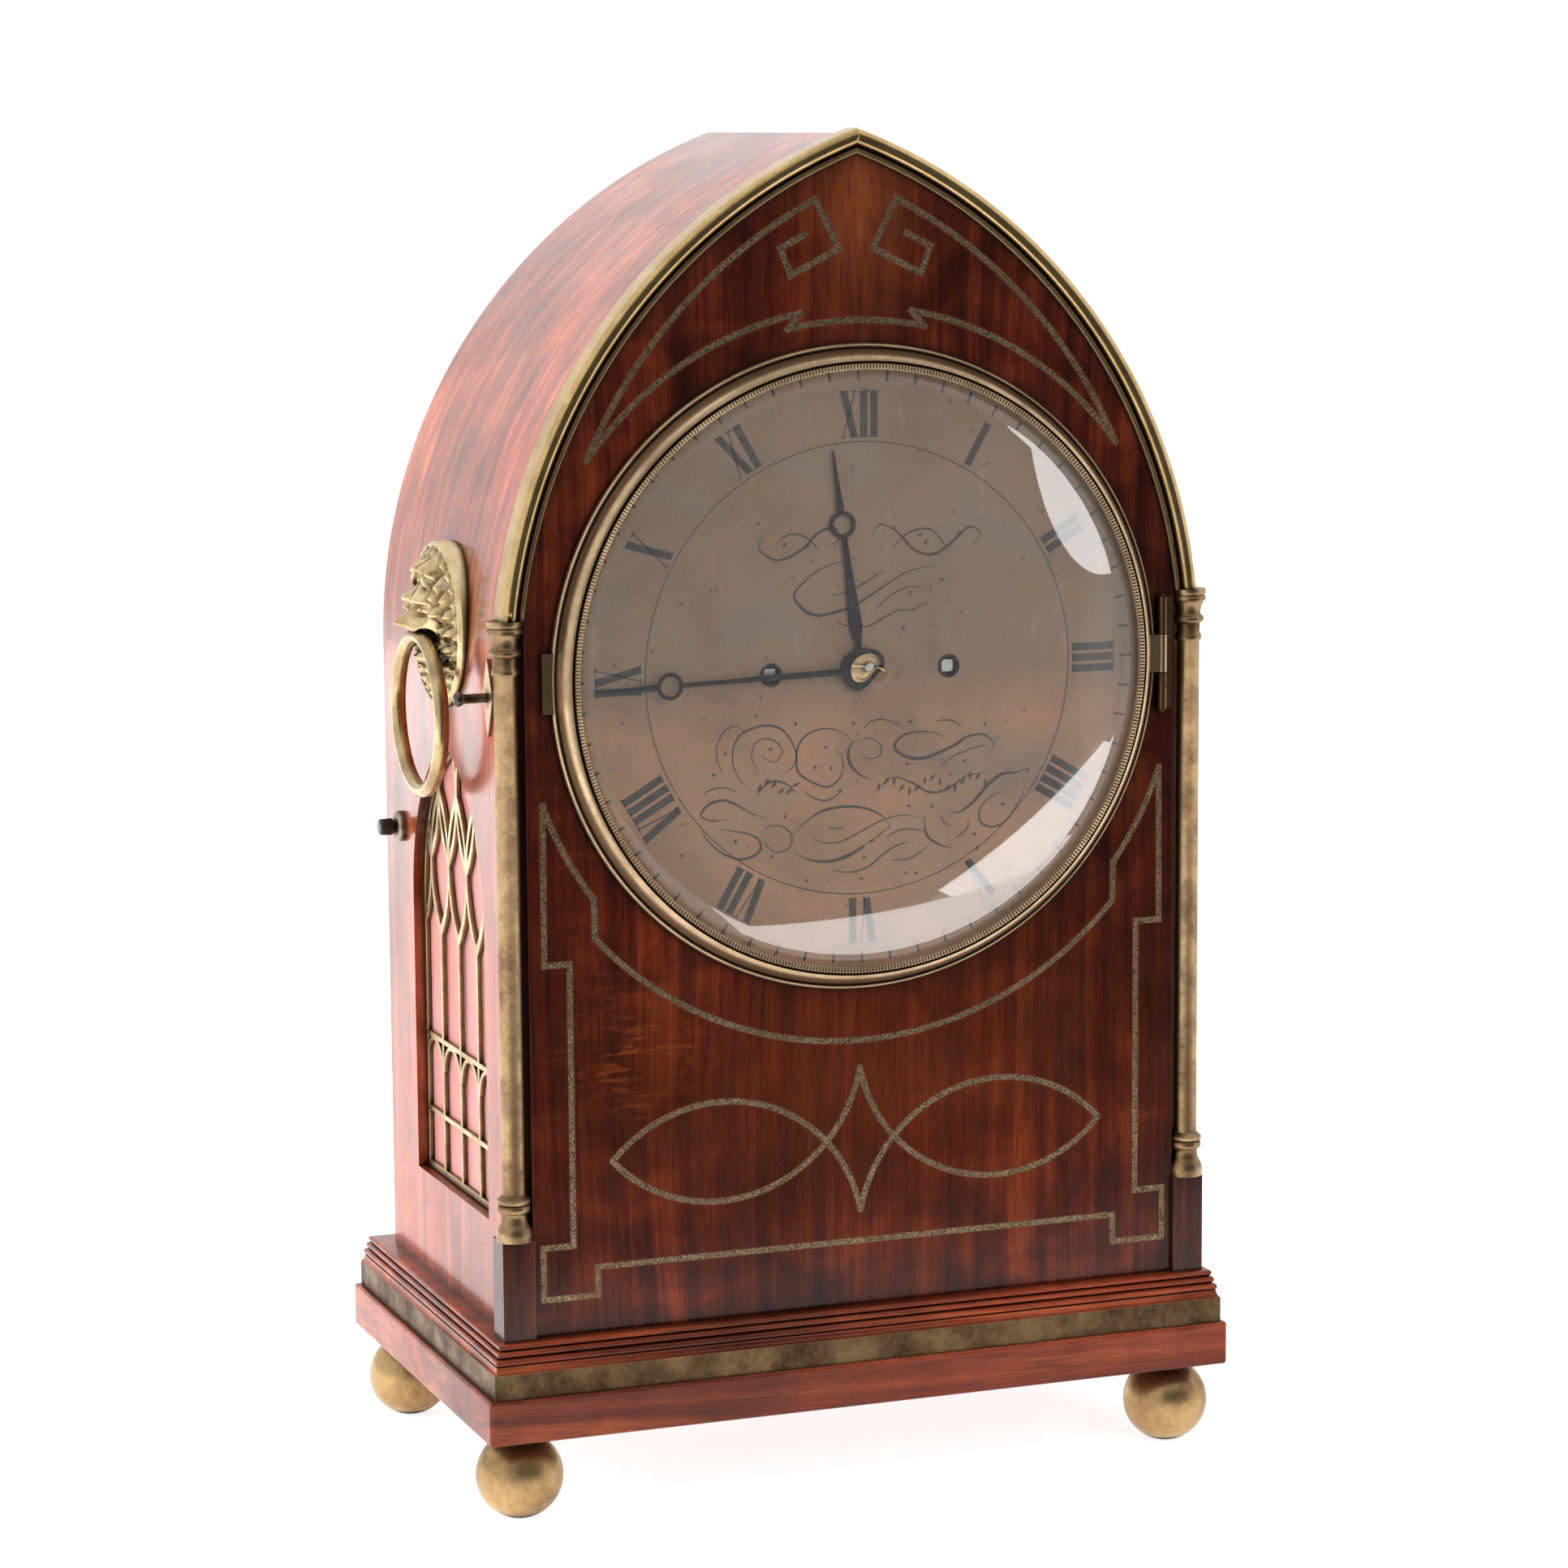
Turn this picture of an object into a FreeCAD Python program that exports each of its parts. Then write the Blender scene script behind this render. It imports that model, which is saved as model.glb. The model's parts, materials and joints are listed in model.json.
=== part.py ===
import FreeCAD, Part
import math
import os
import re

Vector = FreeCAD.Vector
doc = FreeCAD.newDocument("bracket_clock")

# ---------------------------------------------------------------------------
# Driving dimensions, in millimetres and degrees.
# X runs left to right across the front, Y from front to back, Z up.
# The origin lies under the middle of the clock, at the foot of the ball feet.
# Depths named ..._in run backwards from the face of the front panel.
# ---------------------------------------------------------------------------
SIZES = (
    ("face_y", -71.0, "face of the front panel"),
    ("board_lap", 11.1, "base board, how far it stands out past the sides"),
    ("board_front", 8.2, "base board, how far it stands in front of the panel's face"),
    ("board_back_lap", 18.0, "base board, how far it stands behind the case"),
    ("board_base", 30.3, "underside of the base board"),
    ("board_thick", 15.5, "base board, thickness"),
    ("board_round", 1.2, "rounding of the base board's edges"),
    ("band_inset", 2.2, "brass band, set in from the board at the sides and back"),
    ("band_inset_front", 1.2, "brass band, set in from the board in front"),
    ("band_height", 8.7, "brass band"),
    ("band_thick", 1.2, "brass band"),
    ("plinth_height", 9.7, "reeded moulding above the band"),
    ("plinth_run", 3.4, "how far the reeded moulding steps in to its top"),
    ("foot_radius", 14.9, "ball foot"),
    ("foot_flat", 2.4, "radius of the flat that the ball foot stands on"),
    ("foot_neck", 8.5, "radius of the collar under the board"),
    ("foot_neck_height", 2.2, "height of the collar"),
    ("foot_inset_side", 15.6, "ball foot's centre from the board's side"),
    ("foot_inset_end", 18.5, "ball foot's centre from the board's front or back"),
    ("case_margin", 21.6, "from the dial's edge to the case's side"),
    ("arch_rise", 178.0, "height of the lancet above its springing"),
    ("spring_rise", 1.0, "springing of the lancet above the dial's centre"),
    ("wall", 9.0, "side panels and roof"),
    ("panel_thick", 9.0, "front panel"),
    ("case_back_in", 144.0, "rear edge of the side panels"),
    ("corner_room", 7.4, "front panel, set in at the columns"),
    ("column_rise", 20.6, "top of the capitals above the springing"),
    ("dial_seat", 5.8, "how far the dial laps the front panel's opening"),
    ("dial_lift", 220.8, "dial's centre above the foot of the case"),
    ("dial_radius", 103.8, "dial plate"),
    ("dial_thick", 1.6, "dial plate"),
    ("inlay_width", 2.0, "brass string"),
    ("inlay_depth", 0.8, "brass string"),
    ("inlay_play", 0.05, "play between the string and its groove"),
    ("inlay_arch_inset", 14.3, "upper string, in from the lancet's edge"),
    ("inlay_dial_gap", 17.7, "upper string's curve beyond the dial's edge"),
    ("inlay_step_gap", 13.4, "its step over the dial, beyond the dial's edge"),
    ("inlay_low_gap", 24.2, "lower string's curve beyond the dial's edge"),
    ("inlay_side_gap", 15.8, "its curve beside the dial, beyond the dial's edge"),
    ("inlay_point_rise", 73.3, "upper string's side points above the dial's centre"),
    ("inlay_hook_x", 14.5, "where its outer curves turn into the hooks"),
    ("inlay_point_in", 13.0, "lower string's side points, in from the case's side"),
    ("inlay_point_drop", 40.2, "lower string's side points below the dial's centre"),
    ("inlay_step_drop", 94.0, "lower string's shoulders below the dial's centre"),
    ("vesica_lift", 58.3, "pointed ovals' centre line above the foot of the case"),
    ("vesica_x", 51.0, "pointed ovals' centre"),
    ("vesica_half", 38.6, "pointed oval, half its length"),
    ("vesica_rise", 17.2, "pointed oval, half its height"),
    ("moulding_lap", 1.6, "how far the arch moulding stands off the roof"),
    ("moulding_back_in", 8.0, "rear edge of the arch moulding on the roof"),
    ("moulding_width", 7.9, "arch moulding seen from the front"),
    ("moulding_bead", 3.2, "how far its large bead stands forward"),
    ("corner_lap", 3.9, "corner plinths, how far they stand out past the sides"),
    ("corner_front", 2.0, "corner plinths in front of the panel's face"),
    ("corner_height", 34.2, "corner plinths"),
    ("column_inset", 1.3, "column axis in from the case's side"),
    ("column_in", 1.4, "column axis behind the panel's face"),
    ("column_radius", 3.9, "column shaft"),
    ("column_flange", 6.0, "widest radius of base and capital"),
    ("bezel_lap", 5.9, "bezel, how far it reaches outside the dial"),
    ("bezel_lip", 2.7, "bezel, how far it covers the dial's edge"),
    ("bezel_depth", 8.6, "bezel, how far it stands off the panel"),
    ("bezel_gap", 0.4, "gap between the bezel and the panel"),
    ("glass_thick", 1.8, "convex glass"),
    ("glass_rise", 13.8, "how far the glass bulges"),
    ("glass_play", 0.8, "glass, its rim in from the bezel's bore"),
    ("dial_play", 0.6, "bezel's bore round the dial"),
    ("glass_seat", 6.2, "glass rim in front of the panel's face"),
    ("hinge_out", 2.7, "bezel hinge axis outside the bezel"),
    ("hinge_leaf", 4.4, "bezel hinge, width of the leaf on the panel"),
    ("hinge_forward", 2.3, "bezel hinge axis in front of the panel's face"),
    ("knuckle_radius", 1.7, "bezel hinge knuckles"),
    ("hinge_pin", 0.8, "bezel hinge pin"),
    ("hinge_half", 19.5, "bezel hinge, half its height"),
    ("knuckle_half", 6.5, "moving knuckle, half its height"),
    ("knuckle_gap", 0.4, "gap between knuckles"),
    ("run_gap", 0.05, "radial clearance of a running fit"),
    ("fret_in", 68.5, "middle of the side fret"),
    ("fret_half", 42.5, "side fret opening, half its width"),
    ("fret_sill", 35.8, "bottom of the side fret opening above the foot of the case"),
    ("fret_drop", 99.0, "springing of its lancet below the lion mask's centre"),
    ("fret_rise", 57.0, "height of its lancet"),
    ("fret_recess", 3.5, "fret behind the side's surface"),
    ("fret_thick", 1.6, "fret brass"),
    ("fret_play", 0.2, "play round the fret"),
    ("fret_bar", 1.9, "width of the fret's bars"),
    ("fret_border", 2.6, "width of the fret's border"),
    ("fret_oval", 54.0, "height of the fret's pointed ovals"),
    ("fret_oval_step", 26.0, "second row of ovals above the first"),
    ("fret_low_bar", 21.0, "lower cross bar above the opening's bottom"),
    ("fret_high_bar", 48.0, "upper cross bar above the opening's bottom"),
    ("silk_thick", 0.8, "silk and its backing"),
    ("mask_rise", 13.0, "lion mask's centre above the springing"),
    ("mask_radius", 28.5, "lion mask"),
    ("mask_stand", 13.1, "how far the muzzle stands off the side"),
    ("ring_radius", 26.5, "ring handle, to the middle of its wire"),
    ("ring_wire", 2.6, "radius of the ring's wire"),
    ("ring_stand", 8.7, "ring's plane off the side"),
    ("ring_drop", 3.7, "ring's pivot in the mouth below the mask's centre"),
    ("release_in", 14.6, "bezel release rod behind the panel's face"),
    ("release_drop", 5.1, "bezel release rod below the dial's centre"),
    ("release_rod", 1.6, "radius of the bezel release rod"),
    ("release_stand", 12.6, "how far the bezel release stands off the side"),
    ("repeat_in", 124.0, "repeat pull behind the panel's face"),
    ("repeat_drop", 65.0, "repeat pull below the springing"),
    ("repeat_rod", 1.2, "radius of the repeat pull's stem"),
    ("repeat_knob", 3.0, "radius of the repeat pull's knob"),
    ("repeat_knob_length", 5.6, "length of the repeat pull's knob"),
    ("repeat_flange", 5.4, "radius of the repeat pull's bush"),
    ("frame_thick", 9.0, "back frame"),
    ("frame_rail", 20.0, "width of the back frame"),
    ("door_inset", 6.4, "rear door, in from the case's outline"),
    ("door_thick", 8.2, "rear door"),
    ("door_gap", 0.4, "gap in front of the rear door"),
    ("door_rail", 20.0, "width of the rear door's frame"),
    ("door_sill", 1.8, "bottom of the rear door above the foot of the case"),
    ("pane_thick", 2.0, "rear door's glass"),
    ("door_hinge_in", 4.1, "rear door's hinge axis in from the case's side"),
    ("door_hinge_drop", 40.0, "foot of the upper hinge below the springing"),
    ("door_hinge_lift", 46.0, "foot of the lower hinge above the bottom of the door"),
    ("door_hinge_length", 34.0, "rear door's hinges"),
    ("door_knob_drop", 60.0, "rear door's knob below the dial's centre"),
    ("door_knuckle", 1.8, "rear door's hinge knuckles"),
    ("seat_drop", 85.0, "top of the seat board below the dial's centre"),
    ("seat_thick", 10.0, "seat board"),
    ("plate_half", 62.0, "movement plates, half their width"),
    ("plate_height", 165.0, "movement plates"),
    ("plate_thick", 2.5, "movement plates"),
    ("front_plate_in", 22.0, "front plate behind the panel's face"),
    ("back_plate_in", 66.0, "back plate behind the panel's face"),
    ("pillar_radius", 4.0, "movement pillars"),
    ("winding_x", 32.2, "winding squares from the centre"),
    ("winding_drop", 0.5, "winding squares below the dial's centre"),
    ("winding_arbor", 3.0, "radius of the winding arbors"),
    ("winding_hole", 3.5, "winding holes in the dial"),
    ("barrel_x", 36.0, "spring barrels from the centre"),
    ("barrel_drop", 53.0, "spring barrels below the dial's centre"),
    ("barrel_radius", 23.0, "spring barrel"),
    ("fusee_large", 20.0, "large end of the fusee"),
    ("fusee_small", 10.0, "small end of the fusee"),
    ("great_wheel", 24.0, "great wheel"),
    ("arbor_radius", 1.5, "centre arbor"),
    ("cannon_radius", 2.0, "cannon pipe"),
    ("hour_pipe", 3.2, "hour pipe, outside"),
    ("motion_centres", 24.0, "cannon pinion to minute wheel"),
    ("cannon_teeth", 20, "cannon pinion"),
    ("minute_teeth", 60, "minute wheel"),
    ("minute_pinion_teeth", 15, "pinion on the minute wheel"),
    ("hour_teeth", 60, "hour wheel"),
    ("backlash", 0.16, "slack between the wheels' teeth"),
    ("minute_angle", 268.3, "where the minute hand points, clockwise from XII"),
    ("minute_clear", 9.3, "minute hand's tip inside the dial's edge"),
    ("minute_tip", 25.5, "its tip beyond the open ring's centre"),
    ("hour_angle", 352.36, "where the hour hand points, clockwise from XII"),
    ("hour_clear", 29.2, "hour hand's tip inside the dial's edge"),
    ("hour_tip", 25.1, "its tip beyond the open ring's centre"),
    ("hand_ring", 4.6, "outer radius of the hands' open rings"),
    ("hand_thick", 0.8, "thickness of the hands"),
    ("hand_gap", 1.0, "gap between dial, hour hand and minute hand"),
    ("boss_radius", 7.4, "round bosses of the hands"),
    ("collet_radius", 5.2, "domed collet over the hands"),
    ("escape_rise", 33.0, "escape wheel above the dial's centre"),
    ("escape_radius", 14.0, "escape wheel"),
    ("escape_teeth", 30, "escape wheel"),
    ("pallet_gap", 1.4, "pallets from the escape wheel"),
    ("pallet_rise", 56.0, "pallet arbor and suspension above the dial's centre"),
    ("pendulum_in", 80.0, "pendulum behind the panel's face"),
    ("pendulum_length", 191.0, "from the suspension to the bob's centre"),
    ("bob_radius", 30.0, "pendulum bob"),
    ("bob_thick", 14.0, "pendulum bob"),
    ("rod_radius", 1.4, "pendulum rod"),
    ("bell_radius", 36.0, "bell"),
    ("bell_lift", 7.0, "bell's rim above the plates"),
    ("bell_height", 28.0, "bell"),
    ("bell_wall", 2.0, "bell"),
    ("bell_in", 48.0, "bell's axis behind the panel's face"),
    ("hammer_out", 8.0, "hammer arbor outside the bell's rim"),
    ("hammer_drop", 20.0, "hammer arbor below the top of the plates"),
    ("hammer_gap", 0.9, "hammer head from the bell"),
)

# Places and sizes that follow from them. A rule may use any row above it.
FOLLOWING = (
    ("case_half", "dial_radius + case_margin"),
    ("board_half", "case_half + board_lap"),
    ("board_depth", "board_front + case_back_in + board_back_lap"),
    ("board_top", "board_base + board_thick"),
    ("band_top", "board_top + band_height"),
    ("case_base", "band_top + plinth_height"),
    ("dial_z", "case_base + dial_lift"),
    ("spring_z", "dial_z + spring_rise"),
    ("panel_half", "case_half - corner_room"),
    ("corner_outer", "case_half + corner_lap"),
    ("corner_top", "case_base + corner_height"),
    ("column_x", "case_half - column_inset"),
    ("column_top", "spring_z + column_rise"),
    ("aperture", "dial_radius - dial_seat"),
    ("bezel_radius", "dial_radius + bezel_lap"),
    ("bezel_sight", "dial_radius - bezel_lip"),
    ("bezel_bore", "dial_radius + dial_play"),
    ("glass_rim", "bezel_bore - glass_play"),
    ("hinge_x", "bezel_radius + hinge_out"),
    ("inlay_dial_radius", "dial_radius + inlay_dial_gap"),
    ("inlay_step_radius", "dial_radius + inlay_step_gap"),
    ("inlay_low_radius", "dial_radius + inlay_low_gap"),
    ("inlay_side_radius", "dial_radius + inlay_side_gap"),
    ("vesica_z", "case_base + vesica_lift"),
    ("mask_z", "spring_z + mask_rise"),
    ("fret_base", "case_base + fret_sill"),
    ("fret_spring", "mask_z - fret_drop"),
    ("ring_top", "mask_z - ring_drop"),
    ("release_z", "dial_z - release_drop"),
    ("repeat_z", "spring_z - repeat_drop"),
    ("door_base", "case_base + door_sill"),
    ("door_hinge_x", "case_half - door_hinge_in"),
    ("seat_top", "dial_z - seat_drop"),
    ("plate_top", "seat_top + plate_height"),
    ("winding_z", "dial_z - winding_drop"),
    ("barrel_z", "dial_z - barrel_drop"),
    ("minute_length", "dial_radius - minute_clear"),
    ("minute_ring", "minute_length - minute_tip"),
    ("hour_length", "dial_radius - hour_clear"),
    ("hour_ring", "hour_length - hour_tip"),
    ("escape_z", "dial_z + escape_rise"),
    ("pallet_z", "dial_z + pallet_rise"),
    ("bob_z", "pallet_z - pendulum_length"),
    ("bell_rim_z", "plate_top + bell_lift"),
    ("hammer_x", "bell_radius + hammer_out"),
    ("hammer_z", "plate_top - hammer_drop"),
)

WORD = r"[a-z_]+"
SET = {alias for alias, _, _ in SIZES}
FOLLOWED = {alias for alias, _ in FOLLOWING}
sheet = doc.addObject("Spreadsheet::Sheet", "sizes")
for row, (alias, number, note) in enumerate(SIZES, start=1):
    sheet.set(f"A{row}", note)
    sheet.set(f"B{row}", str(number))
    sheet.setAlias(f"B{row}", alias)
following = doc.addObject("Spreadsheet::Sheet", "following")
for row, (alias, rule) in enumerate(FOLLOWING, start=1):
    following.setAlias(f"B{row}", alias)
    following.set(f"B{row}", "=" + re.sub(WORD, lambda word: ("sizes." if word[0] in SET else "") + word[0], rule))
doc.recompute()


class Sizes:
    """Both sheets' numbers by their aliases, for shapes that have no feature of their own."""

    def __getattr__(self, alias):
        return float((sheet if alias in SET else following).get(alias))


s = Sizes()
NODES = {}


def sheet_name(word):
    """A word of an expression, with its sheet's name in front if it is an alias."""
    if word in SET:
        return "sizes." + word
    return "following." + word if word in FOLLOWED else word


def bound(text):
    """An expression over the sheets' aliases."""
    return re.sub(WORD, lambda word: sheet_name(word[0]), text)


def bind(thing, **expressions):
    for name, text in expressions.items():
        thing.setExpression(name, bound(text))
    return thing


def place(thing, x="0", y="0", z="0"):
    """Binds the object's place to the sheet."""
    for axis, text in (("x", x), ("y", y), ("z", z)):
        thing.setExpression(f"Placement.Base.{axis}", bound(text))
    return thing


def node(label, thing):
    """Names a finished sub-part."""
    thing.Label = label
    NODES[label] = thing
    return thing


def solid(label, shape):
    """A sub-part whose shape is worked out here from the sheet's numbers."""
    thing = doc.addObject("Part::Feature", label)
    thing.Shape = shape
    return node(label, thing)


def box(name, length, width, height, x="0", y="0", z="0"):
    thing = doc.addObject("Part::Box", name)
    bind(thing, Length=length, Width=width, Height=height)
    return place(thing, x, y, z)


TURN = {
    "x": FreeCAD.Rotation(Vector(0, 1, 0), 90),
    "y": FreeCAD.Rotation(Vector(1, 0, 0), -90),
    "z": FreeCAD.Rotation(),
}


def cylinder(name, radius, height, x="0", y="0", z="0", along="z"):
    thing = doc.addObject("Part::Cylinder", name)
    bind(thing, Radius=radius, Height=height)
    thing.Placement = FreeCAD.Placement(Vector(), TURN[along])
    return place(thing, x, y, z)


def cut(name, base, *tools):
    for count, tool in enumerate(tools):
        thing = doc.addObject("Part::Cut", f"{name}_cut{count}")
        thing.Base = base
        thing.Tool = tool
        base = thing
    return base


def group(name, *parts):
    thing = doc.addObject("Part::Compound", name + "_group")
    thing.Links = list(parts)
    return thing


# ---------------------------------------------------------------------------
# Outlines: a start point, then points to draw lines to, or pairs of points
# (somewhere on the arc, its end) to draw arcs to. An outline closes itself.
# ---------------------------------------------------------------------------


def curves(steps, lift=lambda u, v: Vector(u, v, 0)):
    made = []
    here = steps[0]
    for step in steps[1:]:
        if isinstance(step[0], tuple):
            middle, end = step
            made.append(Part.Arc(lift(*here), lift(*middle), lift(*end)))
        else:
            end = step
            made.append(Part.LineSegment(lift(*here), lift(*end)))
        here = end
    if math.dist(here, steps[0]) > 1e-6:
        made.append(Part.LineSegment(lift(*here), lift(*steps[0])))
    return made


def extruded(steps, start, depth, normal="y"):
    """A solid from an outline in the plane square to normal, from start on by depth."""
    lift = {
        "x": lambda u, v: Vector(start, u, v),
        "y": lambda u, v: Vector(u, start, v),
        "z": lambda u, v: Vector(u, v, start),
    }[normal]
    way = {"x": Vector(depth, 0, 0), "y": Vector(0, depth, 0), "z": Vector(0, 0, depth)}[normal]
    wire = Part.Wire([curve.toShape() for curve in curves(steps, lift)])
    return Part.Face(wire).extrude(way)


def revolved(steps, axis_at, axis, angle=360.0):
    """A solid turned from an outline of (radius, distance along the axis)."""
    lift = {
        "y": lambda r, a: Vector(axis_at[0] + r, a, axis_at[1]),
        "z": lambda r, a: Vector(axis_at[0] + r, axis_at[1], a),
        "x": lambda r, a: Vector(a, axis_at[0] + r, axis_at[1]),
    }[axis]
    centre = lift(0, 0)
    way = {"x": Vector(1, 0, 0), "y": Vector(0, 1, 0), "z": Vector(0, 0, 1)}[axis]
    wire = Part.Wire([curve.toShape() for curve in curves(steps, lift)])
    return Part.Face(wire).revolve(centre, way, angle)


def disc(radius, x, z, front, depth):
    """A round solid whose axis runs front to back."""
    return Part.makeCylinder(radius, depth, Vector(x, front, z), Vector(0, 1, 0))


def block(x0, x1, y0, y1, z0, z1):
    return Part.makeBox(x1 - x0, y1 - y0, z1 - z0, Vector(x0, y0, z0))


def joined(*shapes):
    return shapes[0].multiFuse(list(shapes[1:])).removeSplitter()


def mirrored(shape):
    return shape.mirror(Vector(), Vector(1, 0, 0))


def padded(label, outlines, thickness, plane, x="0", y="0"):
    """A board: a sketch of its outline and openings, padded to its thickness."""
    body = doc.addObject("PartDesign::Body", label)
    sketch = body.newObject("Sketcher::SketchObject", label + "_outline")
    support = [part for part in body.Origin.OriginFeatures if part.Role == plane][0]
    sketch.AttachmentSupport = [(support, "")]
    sketch.MapMode = "FlatFace"
    for steps in outlines:
        if isinstance(steps, Part.Circle):
            sketch.addGeometry(steps)
        else:
            for curve in curves(steps):
                sketch.addGeometry(curve)
    pad = body.newObject("PartDesign::Pad", label + "_pad")
    pad.Profile = sketch
    bind(pad, Length=thickness)
    pad.Reversed = plane == "XZ_Plane"
    body.Tip = pad
    place(body, x, y)
    return body


def turned(label, steps, x="0", y="0", z="0"):
    """A turned piece: half its outline in a sketch, revolved about the upright axis."""
    body = doc.addObject("PartDesign::Body", label)
    sketch = body.newObject("Sketcher::SketchObject", label + "_outline")
    support = [part for part in body.Origin.OriginFeatures if part.Role == "XZ_Plane"][0]
    sketch.AttachmentSupport = [(support, "")]
    sketch.MapMode = "FlatFace"
    for curve in curves(steps):
        sketch.addGeometry(curve)
    turning = body.newObject("PartDesign::Revolution", label + "_turned")
    turning.Profile = sketch
    turning.ReferenceAxis = (sketch, ["V_Axis"])
    turning.Angle = 360.0
    body.Tip = turning
    place(body, x, y, z)
    return body


class Lancet:
    """A pointed arch: two arcs of one radius, struck from points beyond the middle."""

    def __init__(self, half, rise, spring, middle=0.0):
        self.radius = (half + rise * rise / half) / 2
        self.offset = self.radius - half
        self.spring = spring
        self.middle = middle

    def half_at(self, z, inset=0.0):
        radius = self.radius - inset
        return math.sqrt(radius * radius - (z - self.spring) ** 2) - self.offset

    def apex(self, inset=0.0):
        radius = self.radius - inset
        return self.spring + math.sqrt(radius * radius - self.offset * self.offset)

    def on_arc(self, side, share, inset=0.0, low=None):
        """A point on one side's arc, part of the way from low, or the springing, to the apex."""
        radius = self.radius - inset
        first = math.asin(((low or self.spring) - self.spring) / radius)
        last = math.acos(self.offset / radius)
        angle = first + (last - first) * share
        out = radius * math.cos(angle) - self.offset
        return (self.middle + side * out, self.spring + radius * math.sin(angle))

    def outline(self, base, inset=0.0):
        """The whole opening or board, from a flat base."""
        half = self.half_at(self.spring, inset)
        top = (self.middle, self.apex(inset))
        return (
            (self.middle - half, base),
            (self.middle + half, base),
            (self.middle + half, self.spring),
            (self.on_arc(1, 0.5, inset), top),
            (self.on_arc(-1, 0.5, inset), (self.middle - half, self.spring)),
        )


case_arch = Lancet(s.case_half, s.arch_rise, s.spring_z)
fret_arch = Lancet(s.fret_half, s.fret_rise, s.fret_spring, s.face_y + s.fret_in)
SIDES = (("left", -1), ("right", 1))

board_back = s.face_y - s.board_front + s.board_depth
hour_hand_front = s.face_y - s.dial_thick - s.hand_gap - s.hand_thick
minute_hand_front = hour_hand_front - s.hand_gap - s.hand_thick


# --- Base ------------------------------------------------------------------


def make_base_board():
    """A flat mahogany board with eased edges."""
    plain = box(
        "board_plain", "2 * board_half", "board_depth", "board_thick",
        "-board_half", "face_y - board_front", "board_base",
    )
    doc.recompute()
    rounded = doc.addObject("Part::Fillet", "board_eased")
    rounded.Base = plain
    rounded.Edges = [(number + 1, s.board_round, s.board_round) for number in range(12)]
    node("base_board", rounded)


def make_base_brass_band():
    """A brass strip, mitred round the plinth above the base board."""
    sides = "2 * (board_half - band_inset)"
    depth = "board_depth - band_inset - band_inset_front"
    front = "face_y - board_front + band_inset_front"
    outer = box(
        "band_outer", sides, depth, "band_height",
        "band_inset - board_half", front, "board_top",
    )
    inner = box(
        "band_inner", sides + " - 2 * band_thick", depth + " - 2 * band_thick", "band_height",
        "band_inset - board_half + band_thick", front + " + band_thick", "board_top",
    )
    node("base_brass_band", cut("band", outer, inner))


def reeds(run, height):
    """Half of the moulding's section: how far out, and how high, from its top down."""
    step = height / 9.7
    out = run / 3.4
    points = [(0.0, 0.0), ((1.0, -1.1), (0.1, -2.2)), (0.6, -2.2), ((1.7, -3.4), (0.8, -4.6))]
    points += [(1.3, -4.6), ((2.5, -5.9), (1.6, -7.2)), (2.3, -7.2), ((2.6, -8.8), (3.4, -9.7))]
    scaled = []
    for point in points:
        if isinstance(point[0], tuple):
            scaled.append(tuple((u * out, v * step) for u, v in point))
        else:
            scaled.append((point[0] * out, point[1] * step))
    return scaled


def make_plinth_moulding():
    """The reeded moulding that carries the case. Its core fills the brass band."""
    half = s.board_half - s.band_inset - s.plinth_run
    front = s.face_y - s.board_front + s.band_inset_front + s.plinth_run
    back = board_back - s.band_inset - s.plinth_run
    reeded = reeds(s.plinth_run, s.plinth_height)

    def section(low, high):
        """Both edges' reeds, from the top of one down and up again to the top of the other."""

        def shifted(step, edge, way):
            if isinstance(step[0], tuple):
                return tuple(shifted(part, edge, way) for part in step)
            return (edge + way * step[0], s.case_base + step[1])

        right = [shifted(step, high, 1) for step in reeded]
        ends = [step[1] if isinstance(step[0], tuple) else step for step in reeded]
        left = [shifted(ends[-1], low, -1)]
        for step, before in zip(reversed(reeded[1:]), reversed(ends[:-1])):
            end = shifted(before, low, -1)
            left.append((shifted(step[0], low, -1), end) if isinstance(step[0], tuple) else end)
        return right + left

    across = extruded(section(-half, half), front - s.plinth_run, back - front + 2 * s.plinth_run, "y")
    along = extruded(section(front, back), -half - s.plinth_run, 2 * (half + s.plinth_run), "x")
    skirt = half + s.plinth_run - s.band_thick
    core = block(
        -skirt, skirt,
        front - s.plinth_run + s.band_thick, back + s.plinth_run - s.band_thick,
        s.band_top - s.band_height, s.band_top,
    )
    solid("plinth_moulding", joined(across.common(along), core))


def make_ball_feet():
    """Four turned brass balls with a collar, screwed up into the board."""
    radius = s.foot_radius
    centre = math.sqrt(radius * radius - s.foot_flat * s.foot_flat)
    neck_z = s.board_base - s.foot_neck_height
    join = math.sqrt(radius * radius - (neck_z - 0.6 - centre) ** 2)
    steps = (
        (0, 0),
        (s.foot_flat, 0),
        ((radius, centre), (join, neck_z - 0.6)),
        (s.foot_neck, neck_z),
        (s.foot_neck, s.board_base),
        (0, s.board_base),
    )
    front = "face_y - board_front + foot_inset_end"
    back = "face_y - board_front + board_depth - foot_inset_end"
    for end, y in (("front", front), ("back", back)):
        for side, sign in SIDES:
            label = f"ball_foot_{end}_{side}"
            x = f"{sign} * (board_half - foot_inset_side)"
            node(label, turned(label, steps, x, y))


# --- Case ------------------------------------------------------------------


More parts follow.
